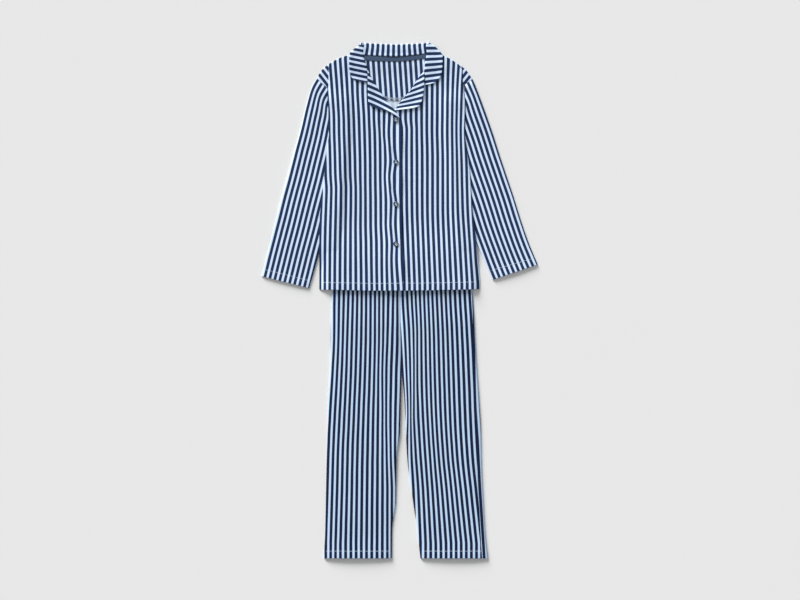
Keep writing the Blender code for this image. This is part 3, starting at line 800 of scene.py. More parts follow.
def striped_cloth(name, dark, light, settings, print_strength=1.0, furrow_shade_strength=1.0):
    """Cotton jersey printed with even stripes, which run along the cloth's own marks. The furrows
    between its wales carry painted shade, scaled by the last argument.
    """
    finish = Finish(name)
    period = settings.stripe_period
    marks = finish.node("ShaderNodeUVMap", {"uv_map": "Cloth"})["UV"]
    place = finish.node("ShaderNodeVectorMath", {"operation": 'SCALE'},
                        {"Vector": marks, "Scale": period})["Vector"]
    parts = finish.node("ShaderNodeSeparateXYZ", {}, {"Vector": marks})
    count, along = parts["X"], parts["Y"]
    fuzz = finish.noise(place, 900.0, 3.0) - 0.5
    drift = finish.noise(place, 22.0, 1.0) - 0.5
    from_middle = abs((count + 0.5 + fuzz * 0.07 + drift * 0.05).fraction() - 0.5)
    half = settings.navy_share / 2
    navy = 1.0 - finish.eased_range(from_middle, half - 0.035, half + 0.035)
    ink = finish.noise(place, 260.0, 3.0)
    cloudy = finish.noise(place, 14.0, 2.0)
    shade = finish.mixed(finish.eased_range(ink, 0.3, 0.75), dark, colour(dark, 1.22))
    ground = finish.mixed(finish.eased_range(cloudy, 0.3, 0.75), light, colour(light, 0.955))
    dyed = finish.mixed(navy * print_strength, ground, shade)
    # Jersey: wales along the cloth and small courses between them
    wale = count * (period / settings.wale_width)
    from_wale = abs(wale.fraction() - 0.5)
    course = (along * (period / settings.wale_width * 1.25) + from_wale * 0.9) * (2 * math.pi)
    knit = from_wale * -1.2 + course.sine() * 0.35
    # The grooves between the wales are darkened towards near-black in the base colour: painted shade in
    # the knit's furrows, added to the bump's own shading.
    painted_furrow_shade = finish.eased_range(from_wale, 0.34, 0.5)
    finish.set(finish.shader, {
        "Base Color": finish.mixed(painted_furrow_shade * 0.10 * furrow_shade_strength, dyed, (0.012, 0.02, 0.05, 1.0)),
        "Roughness": 0.86 - navy * 0.06 + (ink - 0.5) * 0.08,
        "Normal": finish.bumped(finish.noise(place, 55.0, 4.0), 0.16, 0.0012,
                                finish.bumped(knit, 0.28, 0.00012)),
    })
    finish.shader.inputs["Sheen Weight"].default_value = 0.05
    finish.shader.inputs["Sheen Roughness"].default_value = 0.5
    finish.shader.inputs["Specular IOR Level"].default_value = 0.14
    return finish.material


def thread(name, tint):
    """Twisted sewing thread."""
    finish = Finish(name)
    place = finish.node("ShaderNodeTexCoord")["Object"]
    strand = finish.noise(place, 2600.0, 2.0)
    tone = finish.mixed(strand, colour(tint, 0.82), tint)
    finish.set(finish.shader, {"Base Color": tone, "Roughness": 0.62 + strand * 0.2,
                               "Normal": finish.bumped(strand, 0.3, 0.0001)})
    finish.shader.inputs["Sheen Weight"].default_value = 0.1
    return finish.material


def tape_weave(name, tint):
    """Plain herringbone tape."""
    finish = Finish(name)
    marks = finish.node("ShaderNodeUVMap", {"uv_map": "Cloth"})["UV"]
    parts = finish.node("ShaderNodeSeparateXYZ", {}, {"Vector": marks})
    along, over = parts["X"], parts["Y"]
    chevron = abs((over * 0.5).fraction() - 0.5) * 2.0
    rib = ((along + chevron) * (2 * math.pi * 1.1)).sine() * 0.5 + 0.5
    grain = finish.noise(marks, 1.5, 3.0)
    tone = finish.mixed(rib * 0.55 + grain * 0.3, tint, colour(tint, 1.9))
    finish.set(finish.shader, {"Base Color": tone, "Roughness": 0.74 + grain * 0.15,
                               "Normal": finish.bumped(rib, 0.5, 0.0002)})
    finish.shader.inputs["Specular IOR Level"].default_value = 0.35
    return finish.material


def button_plastic(name, tint, settings):
    """Pearly dyed plastic."""
    finish = Finish(name)
    place = finish.node("ShaderNodeTexCoord")["Object"]
    swirl = finish.noise(place, 240.0, 3.0)
    tone = finish.mixed(finish.eased_range(swirl, 0.3, 0.7), tint, colour(tint, 1.55))
    finish.set(finish.shader, {"Base Color": tone, "Roughness": 0.24 + swirl * 0.16})
    finish.shader.inputs["Coat Weight"].default_value = settings.button_gloss
    finish.shader.inputs["Coat Roughness"].default_value = 0.12
    return finish.material


def plain_paper(name, tint):
    """Studio paper."""
    finish = Finish(name)
    place = finish.node("ShaderNodeTexCoord")["Object"]
    grain = finish.noise(place, 3.0, 2.0)
    finish.set(finish.shader, {
        "Base Color": finish.mixed(grain, tint, colour(tint, 0.99)),
        "Roughness": 0.95,
    })
    finish.shader.inputs["Specular IOR Level"].default_value = 0.1
    return finish.material


_finishes = {}


def finish_for(kind):
    """The material of each kind of surface, made once."""
    if kind in _finishes:
        return _finishes[kind]
    cloth = bpy.context.scene.pyjama_cloth
    trims = bpy.context.scene.pyjama_trims
    makers = {
        "top": lambda: striped_cloth("top_stripe", colour(cloth.top_navy), colour(cloth.top_pale),
                                     cloth),
        "trousers": lambda: striped_cloth("trouser_stripe", colour(cloth.trouser_navy),
                                          colour(cloth.trouser_pale), cloth),
        "facing": lambda: striped_cloth("facing_stripe", colour(cloth.facing_navy),
                                        colour(cloth.facing_pale), cloth),
        "wrong side": lambda: striped_cloth("wrong_side", colour(cloth.top_navy),
                                            colour(cloth.wrong_side), cloth, 0.2, 0.5),
        "tape": lambda: tape_weave("neck_tape_weave", colour(trims.tape_navy)),
        "thread": lambda: thread("pale_thread", colour(trims.thread_pale)),
        "overlock thread": lambda: thread("overlock_thread", colour(trims.thread_grey)),
        "navy thread": lambda: thread("navy_thread", colour(trims.thread_navy)),
        "button": lambda: button_plastic("button_plastic", colour(trims.button_colour), trims),
    }
    _finishes[kind] = makers[kind]()
    return _finishes[kind]


def laid(piece, node):
    """Attach a piece of cloth to the body and hide the solid that it shows."""
    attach(piece, BODY)
    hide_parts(node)
    return piece


def hem_step(from_edge):
    """Height of a turned-up hem: one more ply up to the stitch line, and a groove along it."""
    ply = 0.34 * smooth((HEM_DEPTH + 1.2 - from_edge) / 2.0)
    groove = 0.3 * np.exp(-((from_edge - HEM_DEPTH) / 1.0) ** 2)
    return ply - groove


def sewn_hem(run, from_edge):
    """The hem's step, with small puckers along its stitching."""
    near = np.exp(-((from_edge - HEM_DEPTH + 3) / 9) ** 2)
    puckers = 0.11 * np.sin(run / 2.9 + 1.7 * np.sin(run / 17)) + 0.1 * np.sin(run / 7.3)
    return hem_step(from_edge) + near * puckers


def lowered(y, x):
    """Rows of the top brought to its slightly slanting hem."""
    return y + (line_y(HEM, x) - BODY_HEM) * smooth((100 - y) / 76)


def side_right(ys):
    """The body's right edge: its side, then the pleat's fold, then the shoulder seam."""
    shoulder = line_x(SHOULDER_RIGHT[:5], ys)
    return np.where(ys > 541.7, np.maximum(shoulder, PLEAT_RIGHT), body_edges(ys)[0])


def side_left(ys):
    """The body's left edge, in the same way."""
    shoulder = line_x(SHOULDER_LEFT[:4], ys)
    return np.where(ys > 537.5, np.minimum(shoulder, PLEAT_LEFT), body_edges(ys)[1])


def between(one, other, step):
    """Points across each row between two edges, whichever way round they are."""
    return across(np.minimum(one, other), np.maximum(one, other), step)


def away(x, edge):
    """Distance of each point from an edge, along its row."""
    return np.abs(x - edge[:, None])


def add_pleats(cloth, right_start, left_start, height, turn=0.5):
    """The small pieces of shoulder cloth beyond both pleats' folds, their stripes slanting.

    right_start and left_start are the stripe counts at the folds.
    """
    slant = math.radians(38)
    for line, fold_x, side, start in ((SHOULDER_RIGHT, PLEAT_RIGHT, -1, right_start),
                                      (SHOULDER_LEFT, PLEAT_LEFT, 1, left_start)):
        if start is None:
            continue
        top = line[3][1] - 0.4
        ys = stations(line[-1][1] + 0.4, top, 3.0)
        outer = line_x(line[3:], ys)
        under = np.full_like(ys, fold_x - side * 3.0)
        x = across(outer, under, 3.0) if side < 0 else across(under, outer, 3.0)
        y = spread(ys, x)
        z = base(x, y) + height - turn * rolled(away(x, outer), 2.4)
        offset = (x - fold_x) * math.cos(slant) - side * (y - top) * math.sin(slant)
        cloth.sheet(x, y, z, start + side * offset / STRIPE, y / STRIPE)


def front_edge(roll, placket, ys):
    """A front's free edge: its roll down to the first button, and its straight edge below."""
    return np.where(ys > placket[0][1], line_x(roll, ys), line_x(placket, ys))


def make_front_right():
    """The overlapping front, double along its free edge."""
    cloth = Cloth("front_right_cloth")
    ys = stations(BODY_HEM, 582.4, 3.2)
    side = side_right(ys)
    front = front_edge(ROLL_RIGHT, PLACKET_RIGHT, ys)
    x = between(side, front, 1.8)
    rows = spread(ys, x)
    y = lowered(rows, x)
    from_front = away(x, front)
    at_roll = smooth((rows - 400) / 16)
    z = lapped_mid(x, y) - 0.8 * rolled(away(x, side), SIDE_ROLL)
    z = z + rolled(from_front, FRONT_ROLL) * mix(-0.95, 0.45, at_roll)
    z = z + sewn_hem(x, y - line_y(HEM, x))
    z = z + 0.25 * smooth((FACING_REACH - from_front) / 2.5) * (1 - at_roll)
    cloth.sheet(x, y, z, stripe_count(FRONT_RIGHT_STRIPES, x, y), y / STRIPE)
    add_pleats(cloth, 13.3, None, ON_BACK)
    return cloth.make("top")


def make_front_left():
    """The front that lies under the other one at the middle."""
    cloth = Cloth("front_left_cloth")
    ys = stations(BODY_HEM, 582.8, 4.2)
    side = side_left(ys)
    front = front_edge(ROLL_LEFT, PLACKET_LEFT, ys)
    x = between(side, front, 3.7)
    rows = spread(ys, x)
    y = lowered(rows, x)
    at_roll = smooth((rows - 440) / 16)
    z = front_mid(x, y) - 0.8 * rolled(away(x, side), SIDE_ROLL)
    z = z + 0.45 * rolled(away(x, front), FRONT_ROLL) * at_roll + sewn_hem(x, y - line_y(HEM, x))
    z = z + folds_at(FRONT_LEFT_FOLDS, x, y) * front_calm(x, y) * smooth((x + 2) / 10)
    cloth.sheet(x, y, z, stripe_count(FRONT_LEFT_STRIPES, x, y), y / STRIPE)
    add_pleats(cloth, None, 11.7, ON_BACK)
    return cloth.make("top")


def make_back():
    """The back: its right side faces down, and its wrong side shows inside the neck."""
    cloth = Cloth("back_cloth")
    shoulder, neck = 495.0, 566.0
    ys = stations(BODY_HEM, neck, 5.0)
    left, right = body_edges(ys)
    x = across(left, right, 4.6)
    rows = spread(ys, x)
    stretched = shoulder + (rows - shoulder) * (line_y(BACK_TOP, x) - shoulder) / (neck - shoulder)
    y = np.where(rows > shoulder, stretched, lowered(rows, x))
    from_side = np.minimum(x - left[:, None], right[:, None] - x)
    from_hem = y - line_y(HEM, x)
    z = base(x, y) + WALL / 2 + 0.45 * rolled(from_side, SIDE_ROLL)
    z = z - 0.12 * smooth((HEM_DEPTH - from_hem) / 2)
    cloth.sheet(x, y, z, x / STRIPE + 0.3, y / STRIPE, outside=1, inside=0)
    add_pleats(cloth, 0.3, 0.3, WALL / 2, -0.3)
    return cloth.make("top")


def make_facing():
    """The half-moon inside the back neck."""
    cloth = Cloth("back_neck_facing_cloth")
    ys = stations(467.6, 571.0, 3.6)
    left, right = line_x(FACING_EDGE, ys), line_x(FACING_EDGE_LEFT, ys)
    x = across(left, right, 3.6)
    y = spread(ys, x)
    y = y - 1.6 * smooth((x + 60) / 40) * smooth((40 - x) / 40) * smooth((480 - y) / 12)
    soft = 0.18 * np.sin(x / 19 + y / 60) * smooth((y - 475) / 20)
    count = (x + 72.9 - 0.068 * (548.7 - y)) / 12.32
    cloth.sheet(x, y, base(x, y) + ON_FACING + soft, count, y / STRIPE)
    return cloth.make("facing")


def make_tape():
    """The tape over the neck seam, left plain."""
    cloth = Cloth("neck_tape_cloth")
    xs = np.linspace(-86.0, 66.0, 62)
    width = CUTS["neck_tape"].length / MM
    near = INSETS[:3] / width
    share = np.concatenate((near, np.linspace(0.14, 0.86, 5), 1 - near[::-1]))
    x = np.repeat(xs[None, :], len(share), axis=0)
    top, bottom = line_y(TAPE_TOP, x), line_y(TAPE_BOTTOM, x)
    y = mix(bottom, top, share[:, None])
    z = base(x, y) + ON_FACING + SEAM + FACING_WALL
    z = z + 0.25 * np.sin(math.pi * share)[:, None] + 0.08 * np.sin(x / 9)
    cloth.sheet(x, y, z, x / 1.3, y / 2.6, wall=0.7)
    return cloth.make("tape", "tape")


def turned_up(from_edge, from_roll, height, reach, roll_reach):
    """How far a turned-back piece lifts towards its free edge, with the edge itself rolled."""
    lift = height * smooth(1 - from_edge / reach) * smooth(from_roll / roll_reach)
    return lift, 0.35 * rolled(from_edge, FREE_ROLL)


def make_lapel(name, side, low, high, edge_line, roll_line, middle_at, count_at):
    """The top of a front, turned back along its roll."""
    cloth = Cloth(name)
    ys = stations(low, high, 2.6)
    roll = line_x(roll_line, ys)
    edge = side * np.maximum(side * line_x(edge_line, ys), side * roll + 0.8)
    x = between(edge, roll, 2.8)
    y = spread(ys, x)
    from_roll, from_edge = away(x, roll), away(x, edge)
    lift, drop = turned_up(from_edge, from_roll, 2.6, 20, 14)
    z = middle_at(x, y) + ON_FRONT - 0.5 * rolled(from_roll, FRONT_ROLL) + lift - drop
    cloth.sheet(x, y, z, count_at(x, y), x / STRIPE)
    return cloth.make("top")


def lapel_right_count(x, y):
    """Stripes across the right lapel, fanning down towards its edge."""
    over = x + 72.2
    return (512.6 - y - 0.38 * over - 0.0019 * over ** 2) / 13.4


def lapel_left_count(x, y):
    """Stripes across the left lapel, which spread out towards its edge."""
    over = x - 54.8
    return (497.5 - y + 0.36 * over) / (12.58 + 0.065 * over)


def leaf_right_count(x, y):
    """Stripes across the collar's right leaf."""
    return (586.0 - y - 0.2 * (x + 110.7)) / 11.9


def leaf_left_count(x, y):
    """Stripes across the collar's left leaf."""
    return (587.2 - y) / (12.9 - 0.025 * (x - 66.4))


def leaf(cloth, outer, inner, low, count_at):
    """One turned-down leaf of the collar, rolled over at the neck and behind the shoulder."""
    ys = stations(low, 597.4, 2.6)
    edge, roll = line_x(outer, ys), line_x(inner, ys)
    left = np.minimum(edge, roll)
    x = across(left, np.maximum(np.maximum(edge, roll), left + 1.0), 2.6)
    y = spread(ys, x)
    from_edge, from_roll = away(x, edge), away(x, roll)
    behind = smooth((y - 570) / 14)
    lift, drop = turned_up(from_edge, from_roll, 1.5, 14, 12)
    z = front_mid(x, y) + ON_FRONT + lift * (1 - behind) - drop
    z = z - 2.6 * behind * rolled(from_edge, 7) - 1.9 * rolled(from_roll, 3.6)
    z = z + 0.7 * smooth((y - 572) / 10) - 1.6 * rolled(600.5 - y, 5)
    cloth.sheet(x, y, z, count_at(x, y), x / STRIPE)


def make_collar():
    """The stand behind the neck, folded over to its fall behind the back, and the two leaves."""
    cloth = Cloth("collar_cloth")
    xs = across(np.array([-91.0]), np.array([71.0]), 3.0)[0]
    seam, top = line_y(STAND_SEAM, xs), line_y(STAND_TOP, xs) - 0.5
    fall = line_y(FALL_EDGE, xs)
    high = collar_mid(xs, np.full_like(xs, 590.0))
    low = np.full_like(xs, 0.65)
    radius = (high - low) / 2
    shares = np.linspace(0.0, 1.0, 9)
    y_rows = [mix(seam, top - radius, share) for share in shares]
    z_rows = [collar_mid(xs, row) + 0.5 * smooth((row - 574) / 10) * smooth((top - 4 - row) / 8)
              for row in y_rows]
    for angle in np.radians(np.arange(75, -91, -15)):
        y_rows.append(top - radius + radius * math.cos(angle))
        z_rows.append((high + low) / 2 + radius * math.sin(angle))
    for share in np.linspace(0.1, 1.0, 8):
        y_rows.append(mix(top - radius, fall, share))
        z_rows.append(low)
    x = np.repeat(xs[None, :], len(y_rows), axis=0)
    y, z = np.array(y_rows), np.array(z_rows)
    way = way_along(np.hypot(np.diff(y, axis=0), np.diff(z, axis=0)))
    fan = 1 + 0.055 * np.clip((590.7 - y) / 23.3, 0.0, 1.2)
    cloth.sheet(x, y, z, (x + 7.7) / (12.14 * fan) + 5.49, way / STRIPE)
    leaf(cloth, LEAF_RIGHT_OUTER, LEAF_RIGHT_INNER, 508.2, leaf_right_count)
    leaf(cloth, LEAF_LEFT_OUTER, LEAF_LEFT_INNER, 502.8, leaf_left_count)
    return cloth.make("top")


def round_tube(over, under, side=-1):
    """Values across a tube's upper face, then back along its underside.

    The left sleeve's tube starts at its inner fold, so that both sleeves turn the same way.
    """
    if side > 0:
        return np.concatenate((over[:, ::-1], under[:, 1:]), axis=1)
    return np.concatenate((over, under[:, -2::-1]), axis=1)


def make_sleeve(name, rings, side, folds, stripes):
    """A flattened tube from the armhole to the open cuff, its stripes along the outer fold."""
    cloth = Cloth(name)
    middles = np.array([(ring.outer_x + ring.inner_x, ring.outer_y + ring.inner_y)
                        for ring in rings]) / 2
    lengths = way_along(np.hypot(*np.diff(middles, axis=0).T))
    way = stations(0.0, lengths[-1], 4.4)
    outer_x, outer_y, inner_x, inner_y = (
        eased(lengths, [getattr(ring, part) for ring in rings], way)[:, None]
        for part in Ring._fields)
    width = np.hypot(outer_x - inner_x, outer_y - inner_y)
    inset = across(np.zeros(len(way)), width[:, 0], 4.0)
    from_inner = width - inset
    share = inset / width
    x, y = mix(outer_x, inner_x, share), mix(outer_y, inner_y, share)
    run = spread(way, x)
    from_cuff = lengths[-1] - run
    ends = (1 - rolled(inset, SLEEVE_ROLL)) * (1 - rolled(from_inner, SLEEVE_ROLL))
    bulge = np.sin(math.pi * np.clip(share, 0, 1)) ** 0.5
    free = smooth(np.minimum(inset, from_inner) / 14) * smooth(run / 40)
    under_body = smooth((run - 30) / 40) * smooth((240 - run) / 120) * smooth((share - 0.55) / 0.2)
    cuff = smooth(inset / 6) * smooth(from_inner / 6)
    upper = TUBE_SIDE + (SLEEVE_RISE + SLEEVE_CROWN * bulge - 1.9 * (1 - smooth(run / 7))) * ends
    upper = upper + folds_at(folds, x, y) * free * (1 - under_body)
    upper = upper + (sewn_hem(inset, from_cuff) + cuff_lift(from_cuff) * bulge) * cuff
    lower = TUBE_SIDE - ends
    x, y, z, from_fold, run = (round_tube(*faces, side)[::-1] for faces in (
        (x, x), (y, y), (upper, lower), (inset, -inset), (run, run)))
    first_navy = mix(stripes.at_cuff, stripes.at_shoulder, smooth(1 - run / (0.75 * lengths[-1])))
    cloth.tube(x, y, z, (from_fold - first_navy) / stripes.repeat, run / STRIPE)
    return cloth.make("top")


def cuff_lift(from_cuff):
    """The open cuff stands up a little."""
    return 0.9 * smooth((30 - from_cuff) / 30)


def leg_rise(share, y):
    """How far a leg's front stands off its back."""
    free = smooth((6 - y) / 70)
    arch = np.sin(math.pi * np.clip(share, 0, 1))
    hem_lift = 1.7 * smooth((-545 - y) / 55)
    return mix(0.9, LEG_RISE, free) * arch ** 0.28 + hem_lift * arch ** 0.35


def make_leg_front(name, leg):
    """A leg's front. On the left leg it ends at the outseam, which has come round to the top."""
    cloth = Cloth(name)
    ys = stations(LEG_HEM, LEG_TOP, 4.6)
    outer, inner = column(leg.edges, "outer", ys), column(leg.edges, "inner", ys)
    seam = outer if leg.side < 0 else line_x(OUTSEAM, ys) - 0.5
    x = between(seam, inner, 3.6)
    y = spread(ys, x)
    share = (x - outer[:, None]) / (inner - outer)[:, None]
    from_inner, from_seam = away(x, inner), away(x, seam)
    calm = smooth(np.minimum(from_inner, from_seam) / 22) * smooth(-y / 40)
    z = ON_BACK + leg_rise(share, y) + sewn_hem(x, y - LEG_HEM)
    z = z + (folds_at(leg.folds, x, y) + 1.1 * ripple(x + 40 * leg.side, y - 700)) * calm
    puff = 1.7 * smooth((-150 - y) / 50) * smooth((y + 460) / 90)
    z = z + puff * np.exp(-(from_inner - 5.0) ** 2 / 200.0)
    crotch_dip = 0.35 * smooth((y + 180) / 30)
    z = z - 0.9 * rolled(from_inner, 3.2) - crotch_dip * np.exp(-(from_inner / 2.2) ** 2)
    if leg.side < 0:
        z = z - 0.8 * rolled(from_seam, TROUSER_ROLL)
    else:
        z = z - 0.4 * np.exp(-(from_seam / 1.3) ** 2)
    cloth.sheet(x, y, z, stripe_count(leg.stripes, x, y), y / STRIPE)
    return cloth.make("trousers")


def make_leg_back(name, leg):
    """A leg's back. On the left leg it comes round the outer fold to the outseam."""
    cloth = Cloth(name)
    ys = stations(LEG_HEM, LEG_TOP, 5.2)
    outer, inner = (column(leg.edges, part, ys)[:, None] for part in ("outer", "inner"))
    width = np.abs(outer - inner)
    under = across(np.zeros(len(ys)), width[:, 0], 4.6)
    if leg.side < 0:
        x, y = inner - under, spread(ys, under)
        ends = rolled(under, TROUSER_ROLL) + rolled(width - under, TROUSER_ROLL)
        z = WALL / 2 + 0.5 * ends
        cloth.sheet(x, y, z, (x - outer - 8.0) / STRIPE, y / STRIPE)
        return cloth.make("trousers")
    seam = line_x(OUTSEAM, ys)[:, None]
    fold = outer - 2.4
    over_x = mix(seam, fold, np.linspace(0.0, 1.0, 6)[None, :-1])
    over_z = ON_BACK + leg_rise((over_x - outer) / (inner - outer), ys[:, None])
    over_z = over_z - 0.4 * np.exp(-((over_x - seam) / 1.3) ** 2)
    radius = (ON_BACK + leg_rise((fold - outer) / (inner - outer), ys[:, None]) - WALL / 2) / 2
    angles = np.radians(np.arange(90, -91, -22.5))[None, :]
    edge_x = fold + 2.0 * np.cos(angles)
    edge_z = WALL / 2 + radius + radius * np.sin(angles)
    back_x = fold - under[:, 1:] * ((fold - inner) / (outer - inner))
    back_z = WALL / 2 + 0.5 * rolled(back_x - inner, TROUSER_ROLL)
    x = np.concatenate((over_x, edge_x, back_x), axis=1)
    y = spread(ys, x)
    z = np.concatenate((over_z, edge_z, back_z), axis=1)
    way = way_along(np.hypot(np.diff(x, axis=1), np.diff(z, axis=1)), axis=1)
    z = z + 0.3 * smooth((HEM_DEPTH - (y - LEG_HEM)) / 2) * (z > 2.0)
    first_navy = mix(4.5, 0.2, smooth((y - LEG_HEM) / 480))
    cloth.sheet(x, y, z, (way - first_navy) / STRIPE, y / STRIPE)
    return cloth.make("trousers")


def make_waistband():
    """The gathered waistband, under the top."""
    cloth = Cloth("waistband_cloth")
    ys = stations(WAIST_BOTTOM + 0.3, WAIST_TOP, 3.4)
    heights = [ring.outer_y for ring in WAIST]
    left, right = (eased(heights, [getattr(ring, part) for ring in WAIST], ys)
                   for part in ("outer_x", "inner_x"))
    x = across(left, right, 3.0)
    y = spread(ys, x)
    from_left, from_right = away(x, left), away(x, right)
    ends = (1 - rolled(from_left, TROUSER_ROLL)) * (1 - rolled(from_right, TROUSER_ROLL))
    gathers = 0.22 * np.sin(x / 1.9 + 0.8 * np.sin(x / 23))
    gathers = gathers * smooth(from_left / 8) * smooth(from_right / 8) * smooth((88 - y) / 6)
    z = round_tube(TUBE_SIDE + 2.1 * ends + gathers, TUBE_SIDE - ends)
    x, y = round_tube(x, x), round_tube(y, y)
    cloth.tube(x, y, z, x / GATHERED_STRIPE, y / STRIPE)
    return cloth.make("trousers")


def deselect():
    """Leave every object in object mode, with none selected."""
    if bpy.context.object and bpy.context.object.mode != 'OBJECT':
        bpy.ops.object.mode_set(mode='OBJECT')
    bpy.ops.object.select_all(action='DESELECT')


def settle():
    """Put the active object's place into its mesh."""
    bpy.ops.object.transform_apply(location=True, rotation=True, scale=True)


def stitch_form():
    """One stitch, 1 mm long and as thick: a bead pulled out, as points and faces."""
    deselect()
    bpy.ops.mesh.primitive_uv_sphere_add(segments=6, ring_count=5, radius=0.5)
    bead = bpy.context.object
    bpy.ops.object.mode_set(mode='EDIT')
    bpy.ops.mesh.select_all(action='SELECT')
    bpy.ops.transform.rotate(value=math.radians(90), orient_axis='Y', center_override=(0, 0, 0))
    bpy.ops.object.mode_set(mode='OBJECT')
    points = np.array([vert.co[:] for vert in bead.data.vertices])
    faces = [tuple(face.vertices) for face in bead.data.polygons]
    bpy.data.objects.remove(bead, do_unlink=True)
    return points, faces


def stitch_line(places, spacing, length, thick, slant=0.0):
    """Places and directions of stitches along a line of (x, y, z), evenly spaced."""
    run = way_along(np.linalg.norm(np.diff(places, axis=0), axis=1))
    at = np.arange(spacing / 2, run[-1], spacing)
    behind, middle, ahead = (
        np.stack([np.interp(at + past, run, places[:, axis]) for axis in range(3)], axis=-1)
        for past in (-0.5, 0.0, 0.5))
    direction = unit(ahead - behind)
    if slant:
        turn = math.radians(slant)
        x, y = direction[:, 0].copy(), direction[:, 1].copy()
        direction[:, 0] = x * math.cos(turn) - y * math.sin(turn)
        direction[:, 1] = x * math.sin(turn) + y * math.cos(turn)
    return [(place, way, length, thick) for place, way in zip(middle, direction)]


def make_stitches(name, stitches, finish):
    """All stitches of one seam as one mesh, from one stitch."""
    points, faces = stitch_form()
    all_points, all_faces = [], []
    for middle, direction, length, thick in stitches:
        side = unit(np.cross((0.0, 0.0, 1.0), direction))
        up = np.cross(direction, side)
        start = len(all_points) * len(points)
        placed = (middle + points[:, :1] * length * direction + points[:, 1:2] * thick * side
                  + points[:, 2:] * thick * 0.8 * up)
        all_points.append(placed * MM)
        all_faces += [tuple(corner + start for corner in face) for face in faces]
    mesh = bpy.data.meshes.new(name)
    mesh.from_pydata(np.concatenate(all_points).tolist(), [], all_faces)
    mesh.materials.append(finish)
    mesh.shade_smooth()
    piece = bpy.data.objects.new(name, mesh)
    bpy.context.scene.collection.objects.link(piece)
    return piece


def make_button(name, y):
    """A four-hole button with a rolled rim, cut from a disc."""
    settings = bpy.context.scene.pyjama_trims
    radius, height = settings.button_width / 2, settings.button_height
    centre = np.array((BUTTON_X, y, button_seat(y))) * MM
    deselect()
    bpy.ops.mesh.primitive_cylinder_add(vertices=40, radius=radius, depth=height,
                                        location=centre + (0, 0, height / 2))
    button = bpy.context.object
    button.name = name
    settle()
    bpy.ops.object.mode_set(mode='EDIT')
    bpy.ops.mesh.select_all(action='DESELECT')
    shape = bmesh.from_edit_mesh(button.data)
    for face in shape.faces:
        face.select = face.normal.z > 0.9
    bmesh.update_edit_mesh(button.data)
    bpy.ops.mesh.inset(thickness=radius * 0.26, depth=0.0)
    bpy.ops.mesh.inset(thickness=radius * 0.16, depth=-height * 0.27)
    bpy.ops.mesh.select_all(action='DESELECT')
    shape = bmesh.from_edit_mesh(button.data)
    for edge in shape.edges:
        start, end = (np.array(corner.co) - centre for corner in edge.verts)
        reach = min(math.hypot(*start[:2]), math.hypot(*end[:2]))
        level = abs(start[2] - end[2]) < SAME_PLACE / 2
        on_top = reach > radius * 0.7 and start[2] > height * 0.9
        edge.select = level and (reach > radius * 0.98 or on_top)
    bmesh.update_edit_mesh(button.data)
    bpy.ops.mesh.bevel(offset=height * 0.2, segments=3)
    bpy.ops.object.mode_set(mode='OBJECT')
    for step in range(4):
        turn = math.radians(45 + 90 * step)
        aside = np.array((math.cos(turn), math.sin(turn), 0)) * HOLE_REACH * MM
        deselect()
        bpy.ops.mesh.primitive_cylinder_add(vertices=16, radius=HOLE_RADIUS * MM,
                                            depth=height * 3, location=centre + aside)
        drill = bpy.context.object
        cut = button.modifiers.new("hole", 'BOOLEAN')
        cut.operation, cut.solver, cut.object = 'DIFFERENCE', 'EXACT', drill
        deselect()
        button.select_set(True)
        bpy.context.view_layer.objects.active = button
        bpy.ops.object.modifier_apply(modifier=cut.name)
        bpy.data.objects.remove(drill, do_unlink=True)
    bpy.ops.object.shade_smooth_by_angle(angle=math.radians(35))
    button.data.materials.clear()
    button.data.materials.append(finish_for("button"))
    return button


def button_seat(y):
    """The highest cloth under a button."""
    reach = np.array([-5.0, 0.0, 5.0])
    x = np.repeat(BUTTON_X + reach, 3)
    ys = np.tile(y + reach, 3)
    return float(lapped_mid(x, ys).max()) + CLOTH / 2 + 0.1


def button_thread(y):
    """Four strands of thread over the two bridges between the holes."""
    top = button_seat(y) + 2.1
    return [(np.array((BUTTON_X, y + row + nudge, top)), np.array((1.0, 0.0, 0.0)), 4.3, 0.85)
            for row in (-1.6, 1.6) for nudge in (-0.32, 0.32)]


def points_on(xs, ys, height):
    """A line's points, each at the height that the cloth has there."""
    return np.stack((xs, ys, height(xs, ys)), axis=-1)


def top_hem_line(low, high, middle_at):
    """The top's hem stitching, over the front whose middle is given."""
    xs = np.arange(low, high, 4.0)
    return points_on(xs, line_y(HEM, xs) + HEM_DEPTH,
                     lambda x, y: middle_at(x, y) + CLOTH / 2 + 0.14)


def cuff_line(rings):
    """A cuff's stitching, a hem's depth up from the sleeve's open end."""
    share = np.linspace(0.05, 0.95, 30)
    last, before = rings[-1], rings[-2]
    up = HEM_DEPTH / math.hypot(last.outer_x - before.outer_x, last.outer_y - before.outer_y)
    outer_x, outer_y, inner_x, inner_y = (mix(near, far, up) for near, far in zip(last, before))
    bulge = np.sin(math.pi * share) ** 0.5
    z = TUBE_SIDE + SLEEVE_RISE + (SLEEVE_CROWN + cuff_lift(HEM_DEPTH)) * bulge + CLOTH / 2 - 0.05
    return np.stack((mix(outer_x, inner_x, share), mix(outer_y, inner_y, share), z), axis=-1)


def leg_hem_line(leg):
    """A leg's hem stitching, from beside its inner fold to beside its seam."""
    height = np.array([LEG_HEM + HEM_DEPTH])
    outer, inner = (float(column(leg.edges, part, height)[0]) for part in ("outer", "inner"))
    ends = (inner + leg.side * 4.0, leg.stitched_to - leg.side * 4.0)
    xs = np.linspace(min(ends), max(ends), 60)
    return points_on(xs, np.full_like(xs, height[0]), lambda x, y: (
        ON_BACK + leg_rise((x - outer) / (inner - outer), y) + CLOTH / 2))


